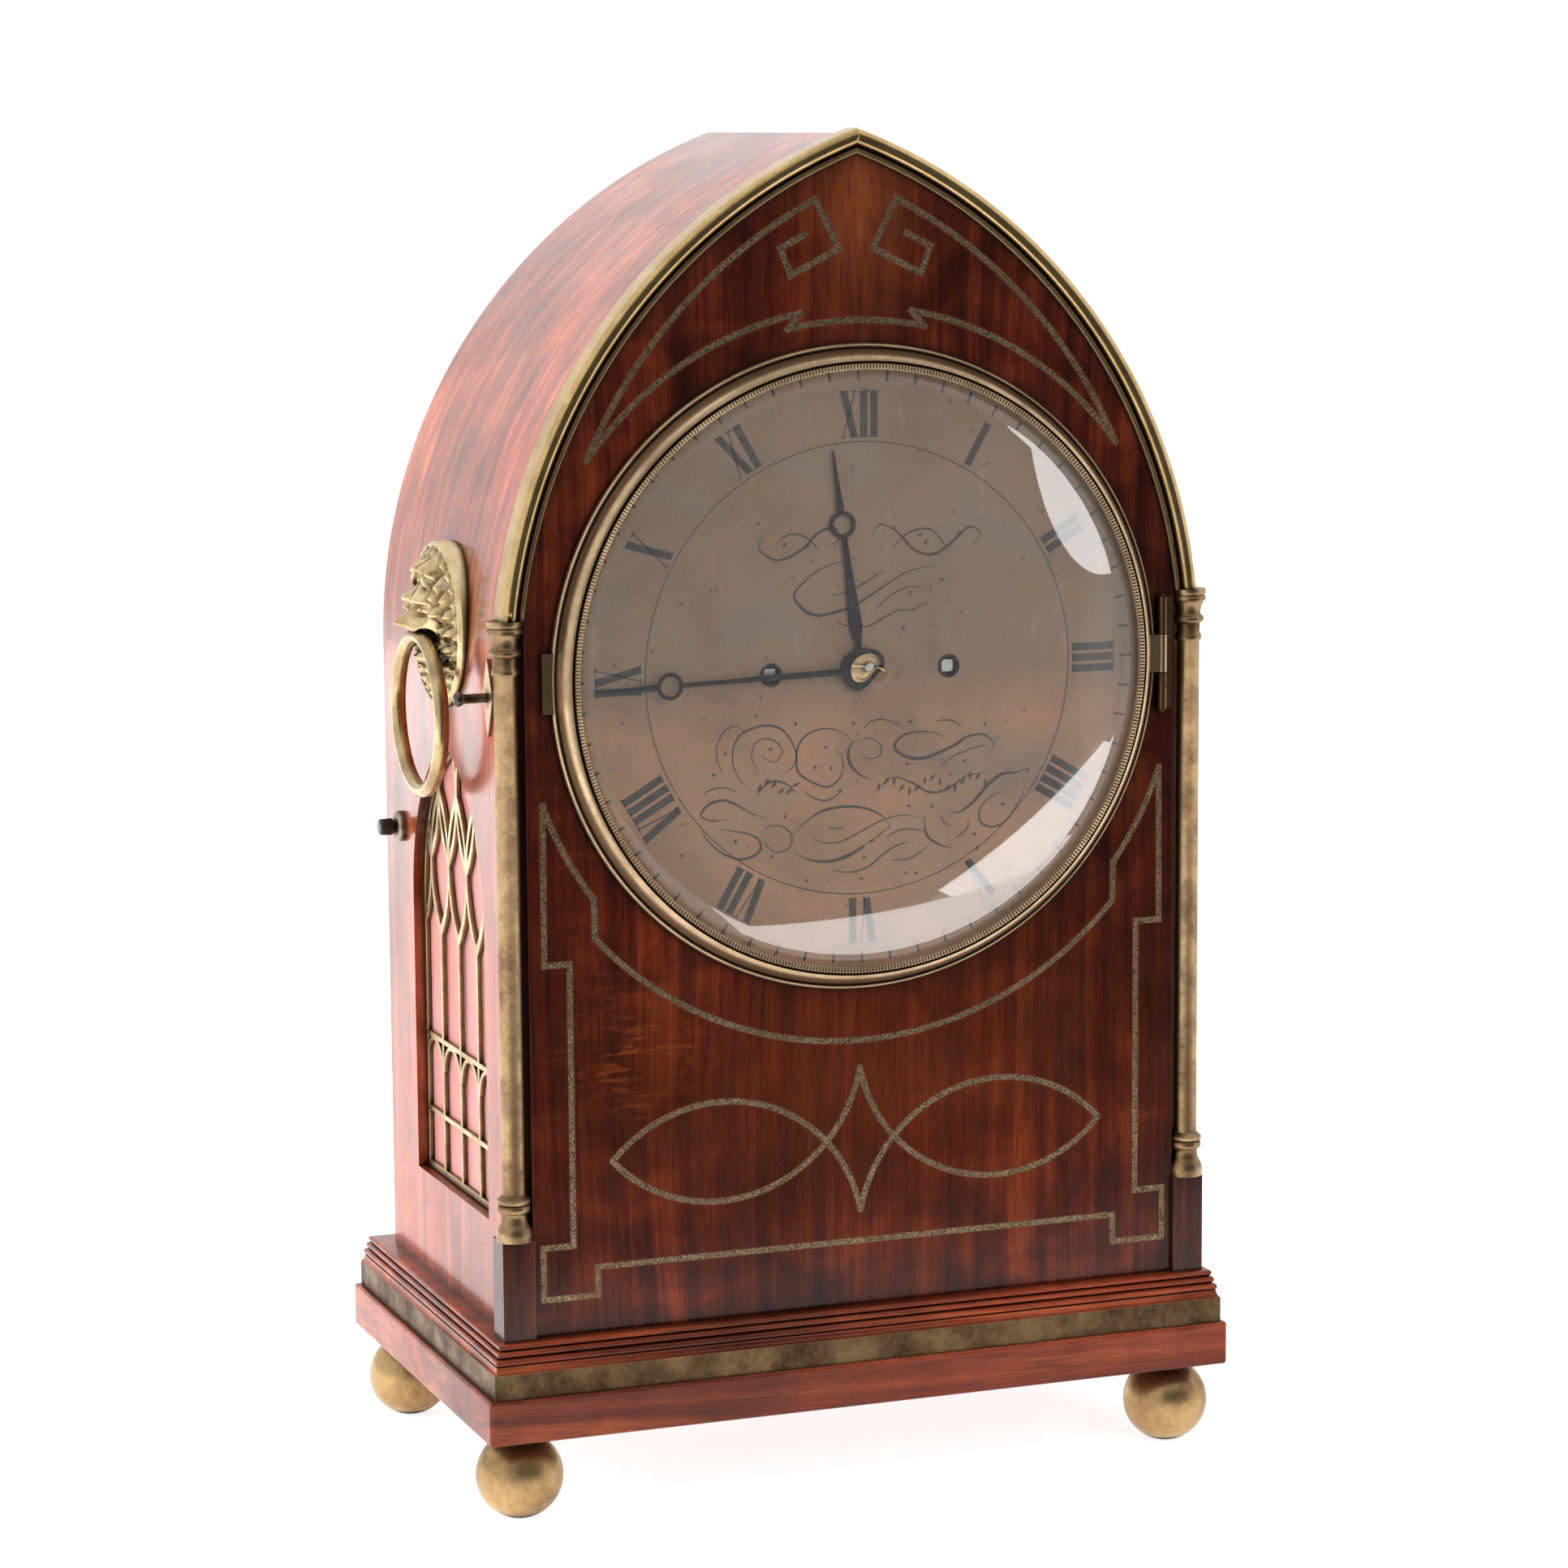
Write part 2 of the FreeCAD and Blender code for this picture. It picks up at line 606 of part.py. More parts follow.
def make_side_panels():
    """Upright boards with a lancet opening. The left one is bored for the release and the repeat pull."""
    front = s.face_y + s.panel_thick
    back = s.face_y + s.case_back_in
    board = ((front, s.case_base), (back, s.case_base), (back, s.spring_z), (front, s.spring_z))
    opening = fret_arch.outline(s.fret_base)
    release = Part.Circle(Vector(s.face_y + s.release_in, s.release_z, 0), Vector(0, 0, 1), s.release_rod + 1.6)
    repeat = Part.Circle(Vector(s.face_y + s.repeat_in, s.repeat_z, 0), Vector(0, 0, 1), s.repeat_rod + 1.8)
    for side, _ in SIDES:
        openings = [board, opening]
        if side == "left":
            openings += [release, repeat]
        x = "-case_half" if side == "left" else "case_half - wall"
        label = f"side_panel_{side}"
        node(label, padded(label, openings, "wall", "YZ_Plane", x))


def make_roof():
    """Two curved halves, built up and veneered, that meet at the ridge."""
    for side, sign in SIDES:
        inner_half = s.case_half - s.wall
        steps = (
            (sign * s.case_half, s.spring_z),
            (case_arch.on_arc(sign, 0.5), (0, case_arch.apex())),
            (0, case_arch.apex(s.wall)),
            (case_arch.on_arc(sign, 0.5, s.wall), (sign * inner_half, s.spring_z)),
        )
        label = f"roof_{side}"
        node(label, padded(label, [steps], "case_back_in - panel_thick", "XZ_Plane", "0", "face_y + panel_thick"))


def front_outline():
    top = s.column_top
    half = case_arch.half_at(top)
    return (
        (-s.panel_half, s.case_base),
        (s.panel_half, s.case_base),
        (s.panel_half, top),
        (half, top),
        (case_arch.on_arc(1, 0.5, 0, top), (0, case_arch.apex())),
        (case_arch.on_arc(-1, 0.5, 0, top), (-half, top)),
        (-s.panel_half, top),
    )


def make_front_panel():
    """The veneered front, with the dial's round opening and shallow grooves for the brass string."""
    opening = Part.Circle(Vector(0, s.dial_z, 0), Vector(0, 0, 1), s.aperture)
    board = padded("front_board", [front_outline(), opening], "panel_thick", "XZ_Plane", "0", "face_y")
    grooves = doc.addObject("Part::Feature", "string_grooves")
    wide = s.inlay_width + 2 * s.inlay_play
    strings = upper_strings(wide) + lower_strings(wide)
    grooves.Shape = Part.makeCompound(strings)
    node("front_panel", cut("front", board, grooves))


# --- Brass string inlay ----------------------------------------------------


def strip(start, end, width):
    """A straight run of string, squared past both its ends by half its width."""
    along = Vector(end[0] - start[0], 0, end[1] - start[1]).normalize()
    across = Vector(-along.z, 0, along.x) * (width / 2)
    grow = along * (width / 2)
    a = Vector(start[0], s.face_y, start[1]) - grow
    b = Vector(end[0], s.face_y, end[1]) + grow
    wire = Part.makePolygon([a - across, b - across, b + across, a + across, a - across])
    return Part.Face(wire).extrude(Vector(0, s.inlay_depth, 0))


def bow(centre, radius, first, last, width):
    """A curved run of string about a centre, between two angles from the X axis, in degrees."""

    def at(r, angle):
        return (centre[0] + r * math.cos(angle), centre[1] + r * math.sin(angle))

    a, b = math.radians(first), math.radians(last)
    middle = (a + b) / 2
    outer, inner = radius + width / 2, radius - width / 2
    steps = (
        at(inner, a),
        at(outer, a),
        (at(outer, middle), at(outer, b)),
        at(inner, b),
        (at(inner, middle), at(inner, a)),
    )
    ends = [disc(width / 2, *at(radius, angle), s.face_y, s.inlay_depth) for angle in (a, b)]
    return joined(extruded(steps, s.face_y, s.inlay_depth), *ends)


def angle_of(point, centre):
    return math.degrees(math.atan2(point[1] - centre[1], point[0] - centre[0]))


def bow_through(start, end, radius, width):
    """A curved run of string of one radius from start round to end, bulging away from the dial."""
    half = math.dist(start, end) / 2
    away = math.sqrt(radius * radius - half * half) / (2 * half)
    middle = ((start[0] + end[0]) / 2, (start[1] + end[1]) / 2)
    centre = (middle[0] + (start[1] - end[1]) * away, middle[1] + (end[0] - start[0]) * away)
    return bow(centre, radius, angle_of(start, centre), angle_of(end, centre), width)


def over_dial(degrees, radius):
    """A point at a radius from the dial's centre, some degrees to the right of straight up."""
    angle = math.radians(degrees)
    return (radius * math.sin(angle), s.dial_z + radius * math.cos(angle))


def upper_strings(width):
    """Under the arch: a long pointed shape on each side that ends in a squared hook, joined over the dial."""
    dial = (0, s.dial_z)
    arch = (-case_arch.offset, s.spring_z)
    radius = case_arch.radius - s.inlay_arch_inset
    tip_z = s.dial_z + s.inlay_point_rise
    tip = (case_arch.half_at(tip_z, s.inlay_arch_inset), tip_z)
    across = s.inlay_hook_x
    corner = (across, s.spring_z + math.sqrt(radius ** 2 - (across + case_arch.offset) ** 2))
    hook = [(corner[0] + u, corner[1] + v) for u, v in ((-8.4, -16.3), (8.8, -25.0), (12.4, -16.0), (3.8, -11.5))]
    step_top = over_dial(9.4, s.inlay_dial_radius)
    step_low = over_dial(12.1, s.inlay_step_radius)
    right = [
        bow(arch, radius, angle_of(tip, arch), angle_of(corner, arch), width),
        bow_through(tip, step_top, s.inlay_dial_radius, width),
        strip(step_top, step_low, width),
    ]
    for start, end in zip([corner] + hook[:-1], hook):
        right.append(strip(start, end, width))
    left = [mirrored(part) for part in right]
    over = bow(dial, s.inlay_step_radius, angle_of(step_low, dial), 180 - angle_of(step_low, dial), width)
    return [joined(over, *right, *left)]


def lower_strings(width):
    """Below the dial: a stepped frame with keyed corners, and two pointed ovals whose lines cross in a diamond."""
    dial = (0, s.dial_z)
    side, base_z = s.case_half, s.case_base
    step_z = s.dial_z - s.inlay_step_drop
    tip = (side - s.inlay_point_in, s.dial_z - s.inlay_point_drop)
    path = (
        (side - 12.8, step_z), (side - 21.6, step_z),
        (side - 21.6, base_z + 30.6), (side - 11.0, base_z + 30.6),
        (side - 11.0, base_z + 12.8), (side - 30.1, base_z + 12.8), (side - 30.1, base_z + 22.5),
    )
    shoulder = over_dial(127.4, s.inlay_side_radius)
    foot = over_dial(132.2, s.inlay_low_radius)
    right = [
        bow_through(shoulder, tip, s.inlay_side_radius, width),
        strip(shoulder, foot, width),
    ]
    for start, end in zip((tip,) + path[:-1], path):
        right.append(strip(start, end, width))
    left = [mirrored(part) for part in right]
    base = strip((-path[-1][0], path[-1][1]), path[-1], width)
    low = bow(dial, s.inlay_low_radius, 180 - angle_of(foot, dial), 360 + angle_of(foot, dial), width)
    frame = joined(base, low, *right, *left)
    rise, half = s.vesica_rise, s.vesica_half
    radius = (half * half + rise * rise) / (2 * rise)
    ovals = []
    for sign in (1, -1):
        centre = (s.vesica_x, s.vesica_z - sign * (radius - rise))
        outer = angle_of((s.vesica_x + half, s.vesica_z), centre)
        inner = math.degrees(math.acos(-s.vesica_x / radius)) * sign
        run = bow(centre, radius, min(outer, inner), max(outer, inner), width)
        ovals += [run, mirrored(run)]
    return [frame, joined(*ovals)]


def make_inlay():
    solid("inlay_upper", upper_strings(s.inlay_width)[0])
    solid("inlay_lower", Part.makeCompound(lower_strings(s.inlay_width)))


# --- Arch moulding, corner plinths and columns ------------------------------


def make_arch_moulding():
    """Brass moulding bent round the arch, mitred at the point: a large bead, a quirk and a small bead."""
    outer = case_arch.radius + s.moulding_lap
    inner = outer - s.moulding_width
    lap = case_arch.radius + 0.2
    face = s.face_y
    bead_low = inner + 2.6
    steps = (
        (inner, face),
        ((inner + 1.1, face - 1.7), (inner + 2.2, face - 0.5)),
        (bead_low, face - 0.5),
        (((bead_low + outer) / 2, face - s.moulding_bead), (outer, face - 0.4)),
        (outer, face + s.moulding_back_in),
        (lap, face + s.moulding_back_in),
        (lap, face),
    )
    centre = Vector(-case_arch.offset, 0, s.spring_z)
    start = math.degrees(math.asin((s.column_top - s.spring_z) / outer))
    wire = Part.Wire([c.toShape() for c in curves(steps, lambda r, y: Vector(centre.x + r, y, centre.z))])
    band = Part.Face(wire).revolve(centre, Vector(0, -1, 0), 90)
    reach = 4 * case_arch.radius
    keep = block(0, reach, face - reach, face + reach, s.column_top, s.column_top + reach)
    right = band.common(keep)
    solid("arch_moulding_right", right)
    solid("arch_moulding_left", mirrored(right))


def make_corner_plinths():
    for side, sign in SIDES:
        x = "panel_half" if sign > 0 else "-corner_outer"
        thing = box(
            f"corner_plinth_{side}", "corner_outer - panel_half", "corner_front + panel_thick",
            "corner_height", x, "face_y - corner_front", "case_base",
        )
        node(f"corner_plinth_{side}", thing)


def make_columns():
    """Slender turned brass columns with a spreading base and a ringed capital."""
    shaft, flange = s.column_radius, s.column_flange
    low, top = s.corner_top, s.column_top
    steps = (
        (0, low),
        (flange, low),
        (flange, low + 1.2),
        ((flange, low + 3.0), (flange - 0.6, low + 4.8)),
        ((shaft + 0.6, low + 6.6), (shaft + 0.4, low + 9.2)),
        (shaft + 1.1, low + 9.8),
        ((shaft + 1.6, low + 11.2), (shaft + 1.0, low + 12.6)),
        (flange - 0.4, low + 13.0),
        (flange - 0.4, low + 14.2),
        (shaft, low + 15.6),
        (shaft, top - 18.2),
        (shaft + 0.7, top - 17.6),
        (shaft + 0.7, top - 16.2),
        (shaft + 0.1, top - 15.4),
        (shaft + 0.1, top - 12.0),
        (shaft + 1.0, top - 11.4),
        ((shaft + 1.5, top - 10.4), (shaft + 1.0, top - 9.4)),
        (shaft + 0.3, top - 8.8),
        ((shaft + 0.7, top - 6.0), (flange - 0.5, top - 4.2)),
        (flange, top - 3.8),
        (flange, top - 2.6),
        (flange - 0.6, top - 2.2),
        (flange, top - 1.6),
        (flange, top),
        (0, top),
    )
    for side, sign in SIDES:
        node(f"column_{side}", turned(f"column_{side}", steps, f"{sign} * column_x", "face_y + column_in"))


# --- Dial, hands and bezel --------------------------------------------------


def make_dial_plate():
    plate = cylinder("dial_disc", "dial_radius", "dial_thick", "0", "face_y - dial_thick", "dial_z", "y")
    centre = cylinder("dial_centre", "hour_pipe + 0.8", "dial_thick", "0", "face_y - dial_thick", "dial_z", "y")
    holes = [
        cylinder(
            f"dial_hole_{side}", "winding_hole", "dial_thick",
            f"{sign} * winding_x", "face_y - dial_thick", "winding_z", "y",
        )
        for side, sign in SIDES
    ]
    node("dial_plate", cut("dial", plate, centre, *holes))


def hand(length, ring_at, leaf, front, angle, bore, boss):
    """A blued hand with a narrow leaf, an open ring and a finer tip, pointing angle degrees clockwise from up.

    leaf holds half widths of the stem: at the boss, at the leaf's widest and at the ring.
    """
    thick = s.hand_thick
    outer = s.hand_ring
    inner = outer - 1.1
    z = s.dial_z
    swell, foot = z + boss + 9.0, z + ring_at - outer + 0.3
    root, wide, neck = leaf
    stem = extruded(
        (
            (-root, z), (root, z), (root, z + boss), (wide, swell), (neck, foot),
            (-neck, foot), (-wide, swell), (-root, z + boss),
        ),
        front, thick,
    )
    point = z + ring_at + outer - 0.3
    tip = extruded(((-1.1, point), (1.1, point), (0.35, z + length), (-0.35, z + length)), front, thick)
    ring = disc(outer, 0, z + ring_at, front, thick).cut(disc(inner, 0, z + ring_at, front, thick))
    hub = disc(boss, 0, z, front, thick)
    whole = joined(stem, tip, ring, hub).cut(disc(bore, 0, z, front - 1, thick + 2))
    whole.rotate(Vector(0, 0, z), Vector(0, 1, 0), angle)
    return whole


def make_hands():
    front = hour_hand_front
    bore = s.cannon_radius + s.run_gap
    hour = hand(s.hour_length, s.hour_ring, (0.9, 2.2, 0.8), front, s.hour_angle, bore, s.boss_radius)
    solid("hour_hand", hour)
    front = minute_hand_front
    bore = s.arbor_radius + s.run_gap
    minute = hand(s.minute_length, s.minute_ring, (1.1, 1.2, 0.8), front, s.minute_angle, bore, s.boss_radius)
    radius = s.collet_radius
    dome = revolved(
        (
            (bore, front), (radius - 0.6, front), (radius, front - 0.7),
            ((radius * 0.74, front - 2.1), (bore + 0.5, front - 2.6)), (bore, front - 2.6),
        ),
        (0, s.dial_z), "y",
    )
    solid("minute_hand", joined(minute, dome))


def bezel_section():
    face = s.face_y
    back = face - s.bezel_gap
    front = face - s.bezel_depth
    outer = s.bezel_radius
    rim = s.glass_rim + 0.2
    return (
        (outer, back),
        (outer, back - 2.0),
        (outer - 0.9, back - 2.6),
        ((outer - 2.6, front + 0.6), (s.bezel_sight + 1.6, front)),
        (s.bezel_sight, front + 0.5),
        (s.bezel_sight, face - s.glass_seat - 1.3),
        (rim, face - s.glass_seat - 0.4),
        (rim, face - s.glass_seat + s.glass_thick),
        (s.bezel_bore, face - s.glass_seat + s.glass_thick),
        (s.bezel_bore, back),
    )


def make_bezel():
    """A turned brass ring with a knuckle on the right and a catch tab on the left."""
    ring = revolved(bezel_section(), (0, s.dial_z), "y")
    axis_y = s.face_y - s.hinge_forward
    tall = s.knuckle_half
    knuckle = Part.makeCylinder(s.knuckle_radius, 2 * tall, Vector(s.hinge_x, axis_y, s.dial_z - tall))
    web = block(s.bezel_radius - 2.5, s.hinge_x, axis_y - 1.0, axis_y + 1.0, s.dial_z - tall, s.dial_z + tall)
    bore = Part.makeCylinder(s.hinge_pin + s.run_gap, 4 * tall, Vector(s.hinge_x, axis_y, s.dial_z - 2 * tall))
    edge = -s.bezel_radius
    tab = block(edge - 2.8, edge + 2.5, s.face_y - 2.6, s.face_y - 0.9, s.dial_z - 9.5, s.dial_z + 10.5)
    solid("bezel_ring", joined(ring, knuckle, web, tab).cut(bore))

    rim, rise, thick = s.glass_rim, s.glass_rise, s.glass_thick
    radius = (rim * rim + rise * rise) / (2 * rise)
    seat = s.face_y - s.glass_seat

    def depth(r, ball, front):
        return front + ball - math.sqrt(ball * ball - r * r)

    crown = seat - rise
    inner_ball = radius - thick
    inner_rim = rim - 0.3
    steps = (
        (0, crown),
        ((rim / 2, depth(rim / 2, radius, crown)), (rim, seat)),
        (rim, seat + thick * 0.8),
        (inner_rim, depth(inner_rim, inner_ball, crown + thick)),
        ((rim / 2, depth(rim / 2, inner_ball, crown + thick)), (0, crown + thick)),
    )
    solid("bezel_glass", revolved(steps, (0, s.dial_z), "y"))

    leaf_end = s.hinge_x + s.hinge_leaf
    leaf = block(s.hinge_x, leaf_end, s.face_y - 1.0, s.face_y, s.dial_z - s.hinge_half, s.dial_z + s.hinge_half)
    relief = block(
        s.hinge_x - 1, s.hinge_x + s.knuckle_radius + 0.4, s.face_y - 2.0, s.face_y - 0.3,
        s.dial_z - tall - s.knuckle_gap, s.dial_z + tall + s.knuckle_gap,
    )
    span = s.hinge_half - tall - s.knuckle_gap
    low = Part.makeCylinder(s.knuckle_radius, span, Vector(s.hinge_x, axis_y, s.dial_z - s.hinge_half))
    high = Part.makeCylinder(s.knuckle_radius, span, Vector(s.hinge_x, axis_y, s.dial_z + tall + s.knuckle_gap))
    pin = Part.makeCylinder(s.hinge_pin, 2 * s.hinge_half + 2, Vector(s.hinge_x, axis_y, s.dial_z - s.hinge_half - 1))
    solid("bezel_hinge", joined(leaf.cut(relief), low, high, pin))


# --- Side fittings ----------------------------------------------------------


def vesica(middle, low, high, half, bar):
    """A pointed oval ring, drawn in the side's plane."""
    rise = (high - low) / 2
    centre_z = (high + low) / 2
    outline = (
        (middle, low),
        ((middle + half, centre_z), (middle, high)),
        ((middle - half, centre_z), (middle, low)),
    )
    shrink = (half - bar) / half
    inner = (
        (middle, centre_z - rise * shrink),
        ((middle + half - bar, centre_z), (middle, centre_z + rise * shrink)),
        ((middle - half + bar, centre_z), (middle, centre_z - rise * shrink)),
    )
    return outline, inner


def fret_shape(start, thick):
    """Gothic tracery: a border, mullions, interlaced pointed ovals, a scalloped row and a plain bar."""
    bar = s.fret_bar
    play, border = s.fret_play, s.fret_border
    middle = s.face_y + s.fret_in
    pitch = s.fret_half / 2
    whole = extruded(fret_arch.outline(s.fret_base + play, play), start, thick, "x")
    hole = extruded(fret_arch.outline(s.fret_base + play + border, play + border), start, thick, "x")
    parts = [whole.cut(hole)]
    mullion_top = s.fret_spring - 12
    for count in (-1, 0, 1):
        centre = middle + count * pitch
        parts.append(block(start, start + thick, centre - bar / 2, centre + bar / 2, s.fret_base + 1, mullion_top))
    for row in (s.fret_base + s.fret_low_bar, s.fret_base + s.fret_high_bar):
        parts.append(block(start, start + thick, middle - s.fret_half + 1, middle + s.fret_half - 1, row, row + bar))
    first = mullion_top - bar
    ovals = [(count, first) for count in (-2, -1, 0, 1, 2)]
    ovals += [(count, first + s.fret_oval_step) for count in (-1.5, -0.5, 0.5, 1.5)]
    for count, low in ovals:
        outer, inner = vesica(middle + count * pitch, low, low + s.fret_oval, pitch / 2 + bar / 2, bar)
        parts.append(extruded(outer, start, thick, "x").cut(extruded(inner, start, thick, "x")))
    scallop = s.fret_base + s.fret_high_bar - pitch / 2 + bar / 2
    for count in (-1.5, -0.5, 0.5, 1.5):
        centre = middle + count * pitch
        at = Vector(start, centre, scallop)
        ring = Part.makeCylinder(pitch / 2, thick, at, Vector(1, 0, 0))
        ring = ring.cut(Part.makeCylinder(pitch / 2 - bar * 0.8, thick, at, Vector(1, 0, 0)))
        above = block(start, start + thick, centre - pitch, centre + pitch, scallop, scallop + pitch)
        parts.append(ring.common(above))
    return joined(*parts).common(whole)


def make_frets():
    for side, sign in SIDES:
        out = -s.case_half + s.fret_recess
        shape = fret_shape(out, s.fret_thick)
        cloth = extruded(fret_arch.outline(s.fret_base + s.fret_play, s.fret_play), out + s.fret_thick, s.silk_thick, "x")
        solid(f"side_fret_{side}", shape if sign < 0 else mirrored(shape))
        solid(f"fret_silk_{side}", cloth if sign < 0 else mirrored(cloth))


def make_lion_masks():
    """Cast brass masks: a round plate, a mane, a brow and a muzzle bored for the ring."""
    middle = s.face_y + s.fret_in
    surface = -s.case_half
    z = s.mask_z
    radius = s.mask_radius

    def out(height):
        return surface - height

    def ball(size, height, y, up):
        return Part.makeSphere(size, Vector(out(height), middle + y, z + up))

    base = revolved(
        (
            (0, out(-8)), (radius, out(-8)), (radius, out(1.4)), (radius - 1.4, out(2.4)), (radius - 3.0, out(1.9)),
            ((radius - 7.2, out(4.7)), (radius - 11.6, out(2.6))), ((radius * 0.27, out(8.3)), (0, out(9.6))),
        ),
        (middle, z), "x",
    )
    brows = [ball(5.4, 4.3, side * 7.1, 8.3) for side in (-1, 1)]
    ears = [ball(4.4, 2.2, side * 15.7, 14.6) for side in (-1, 1)]
    muzzle = ball(8.6, s.mask_stand - 8.6, 0, 1.7)
    low = s.ring_top - s.ring_wire - 3.2
    jaw = block(out(s.mask_stand), surface, middle - 5, middle + 5, low, s.ring_top + 2.0)
    jaw = jaw.makeFillet(1.6, [edge for edge in jaw.Edges if edge.CenterOfMass.x < surface - 6])
    whole = base
    for piece in [muzzle] + brows + ears + [jaw]:
        whole = whole.fuse(piece)
    pivot = Vector(surface - s.ring_stand, middle, s.ring_top)
    bore = Part.makeCylinder(s.ring_wire + 0.8, 60, pivot - Vector(0, 30, 0), Vector(0, 1, 0))
    whole = whole.cut(extruded(case_arch.outline(s.case_base, -0.1), middle - 2 * radius, 4 * radius)).cut(bore)
    for side in (-1, 1):
        start = pivot + Vector(0, side * 5, 0)
        whole = whole.cut(Part.makeCylinder(s.ring_wire + 2.9, 20, start, Vector(0, side, 0)))
    whole = whole.removeSplitter()
    ring = Part.makeTorus(s.ring_radius, s.ring_wire, pivot - Vector(0, 0, s.ring_radius), Vector(1, 0, 0))
    solid("lion_mask_left", whole)
    solid("lion_mask_right", mirrored(whole))
    solid("ring_handle_left", ring)
    solid("ring_handle_right", mirrored(ring))


def make_release():
    """The bezel release: a lozenge plate with a bush, and the sprung rod that runs in it."""
    surface = -s.case_half
    y, z = s.face_y + s.release_in, s.release_z
    plate = extruded(
        (
            (y - 5.5, z), (y - 2.4, z - 8), (y, z - 13), (y + 2.4, z - 8),
            (y + 5.5, z), (y + 2.4, z + 8), (y, z + 13), (y - 2.4, z + 8),
        ),
        surface - 1.0, 1.0, "x",
    )
    bush = Part.makeCylinder(s.release_rod + 1.5, s.wall, Vector(surface, y, z), Vector(1, 0, 0))
    bore = Part.makeCylinder(s.release_rod + s.run_gap, 3 * s.wall, Vector(surface - s.wall, y, z), Vector(1, 0, 0))
    solid("release_escutcheon", joined(plate, bush).cut(bore))
    steps = (
        (0, surface - s.release_stand),
        (1.0, surface - s.release_stand),
        ((2.3, surface - s.release_stand + 1.0), (2.3, surface - s.release_stand + 2.4)),
        (s.release_rod, surface - s.release_stand + 3.4),
        (s.release_rod, surface + s.wall + 4),
        (0, surface + s.wall + 4),
    )
    solid("release_button", revolved(steps, (y, z), "x"))


def make_repeat_pull():
    """The repeat pull: a flanged brass bush, and a black knob on the stem that pulls the repeat work."""
    surface = -s.case_half
    y, z = s.face_y + s.repeat_in, s.repeat_z
    bush = revolved(
        (
            (s.repeat_rod + s.run_gap, surface - 2.6), (s.repeat_flange - 1.4, surface - 2.6),
            ((s.repeat_flange - 0.4, surface - 2.2), (s.repeat_flange, surface - 1.2)),
            (s.repeat_flange, surface), (s.repeat_rod + 1.7, surface),
            (s.repeat_rod + 1.7, surface + s.wall), (s.repeat_rod + s.run_gap, surface + s.wall),
        ),
        (y, z), "x",
    )
    solid("repeat_bush", bush)
    near = surface - 3.0
    far = near - s.repeat_knob_length
    knob = revolved(
        (
            (0, far), (s.repeat_knob - 1.0, far), ((s.repeat_knob - 0.3, far + 0.3), (s.repeat_knob, far + 1.0)),
            (s.repeat_knob, near - 1.0), (s.repeat_knob - 0.8, near), (s.repeat_rod, near),
            (s.repeat_rod, surface + s.wall + 22), (0, surface + s.wall + 22),
        ),
        (y, z), "x",
    )
    solid("repeat_knob", knob)


# --- Back -------------------------------------------------------------------


def make_back_frame():
    inset = s.wall + 0.2
    outer = case_arch.outline(s.case_base, inset)
    inner = case_arch.outline(s.case_base + s.frame_rail, inset + s.frame_rail)
    frame = padded("back_frame", [outer, inner], "frame_thick", "XZ_Plane", "0", "face_y + case_back_in - frame_thick")
    node("back_frame", frame)


def make_rear_door():
    """A framed and glazed door that closes over the back of the case."""
    front = s.face_y + s.case_back_in + s.door_gap
    outer = case_arch.outline(s.door_base, s.door_inset)
    rail = s.door_inset + s.door_rail
    inner = case_arch.outline(s.door_base + s.door_rail, rail)
    frame = padded("rear_door", [outer, inner], "door_thick", "XZ_Plane", "0", "face_y + case_back_in + door_gap")
    node("rear_door", frame)
    pane = extruded(case_arch.outline(s.door_base + s.door_rail + 0.2, rail + 0.2), front + 3.0, s.pane_thick)
    solid("rear_door_glass", pane)

    x, radius = s.door_hinge_x, s.door_knuckle
    rear = s.face_y + s.case_back_in
    back = front + s.door_thick
    y = back + 0.6
    tall, slack, pin_radius = s.door_hinge_length, 0.3, 0.9
    end = (tall - 2 * slack) * 0.32
    fixed, moving = [], []
    for low in (s.door_base + s.door_hinge_lift, s.spring_z - s.door_hinge_drop):
        high = low + tall
        leaf = block(x - 1.0, s.case_half - 0.4, rear, rear + 1.2, low, high)
        web = block(x - 0.9, x + 0.9, rear, y, low, high)
        relief = block(x - 3, x + 3, y - radius - 0.5, y + 4, low + end, high - end)
        ends = [Part.makeCylinder(radius, end, Vector(x, y, z)) for z in (low, high - end)]
        pin = Part.makeCylinder(pin_radius, tall + 2, Vector(x, y, low - 1))
        fixed.append(joined(leaf, web.cut(relief), *ends, pin))
        start, span = low + end + slack, tall - 2 * end - 2 * slack
        barrel = Part.makeCylinder(radius, span, Vector(x, y, start))
        plate = block(x - 11, x, back, back + 1.0, start, start + span)
        bore = Part.makeCylinder(pin_radius + s.run_gap, tall + 6, Vector(x, y, low - 3))
        moving.append(joined(barrel, plate).cut(bore))
    solid("rear_door_hinges", Part.makeCompound(fixed))
    knob = revolved(
        (
            (0, back), (4.5, back), (4.5, back + 0.8), (1.8, back + 1.6), (1.8, back + 3.0),
            ((4.0, back + 4.6), (2.2, back + 7.0)), (0, back + 7.4),
        ),
        (-s.case_half + rail - s.door_rail / 2, s.dial_z - s.door_knob_drop), "y",
    )
    solid("rear_door_fittings", Part.makeCompound([knob] + moving))


# --- Movement ---------------------------------------------------------------


def make_seat_board():
    thing = box(
        "seat_board", "2 * (case_half - wall)", "back_plate_in + 6 - panel_thick - 3", "seat_thick",
        "wall - case_half", "face_y + panel_thick + 3", "seat_top - seat_thick",
    )
    node("seat_board", thing)


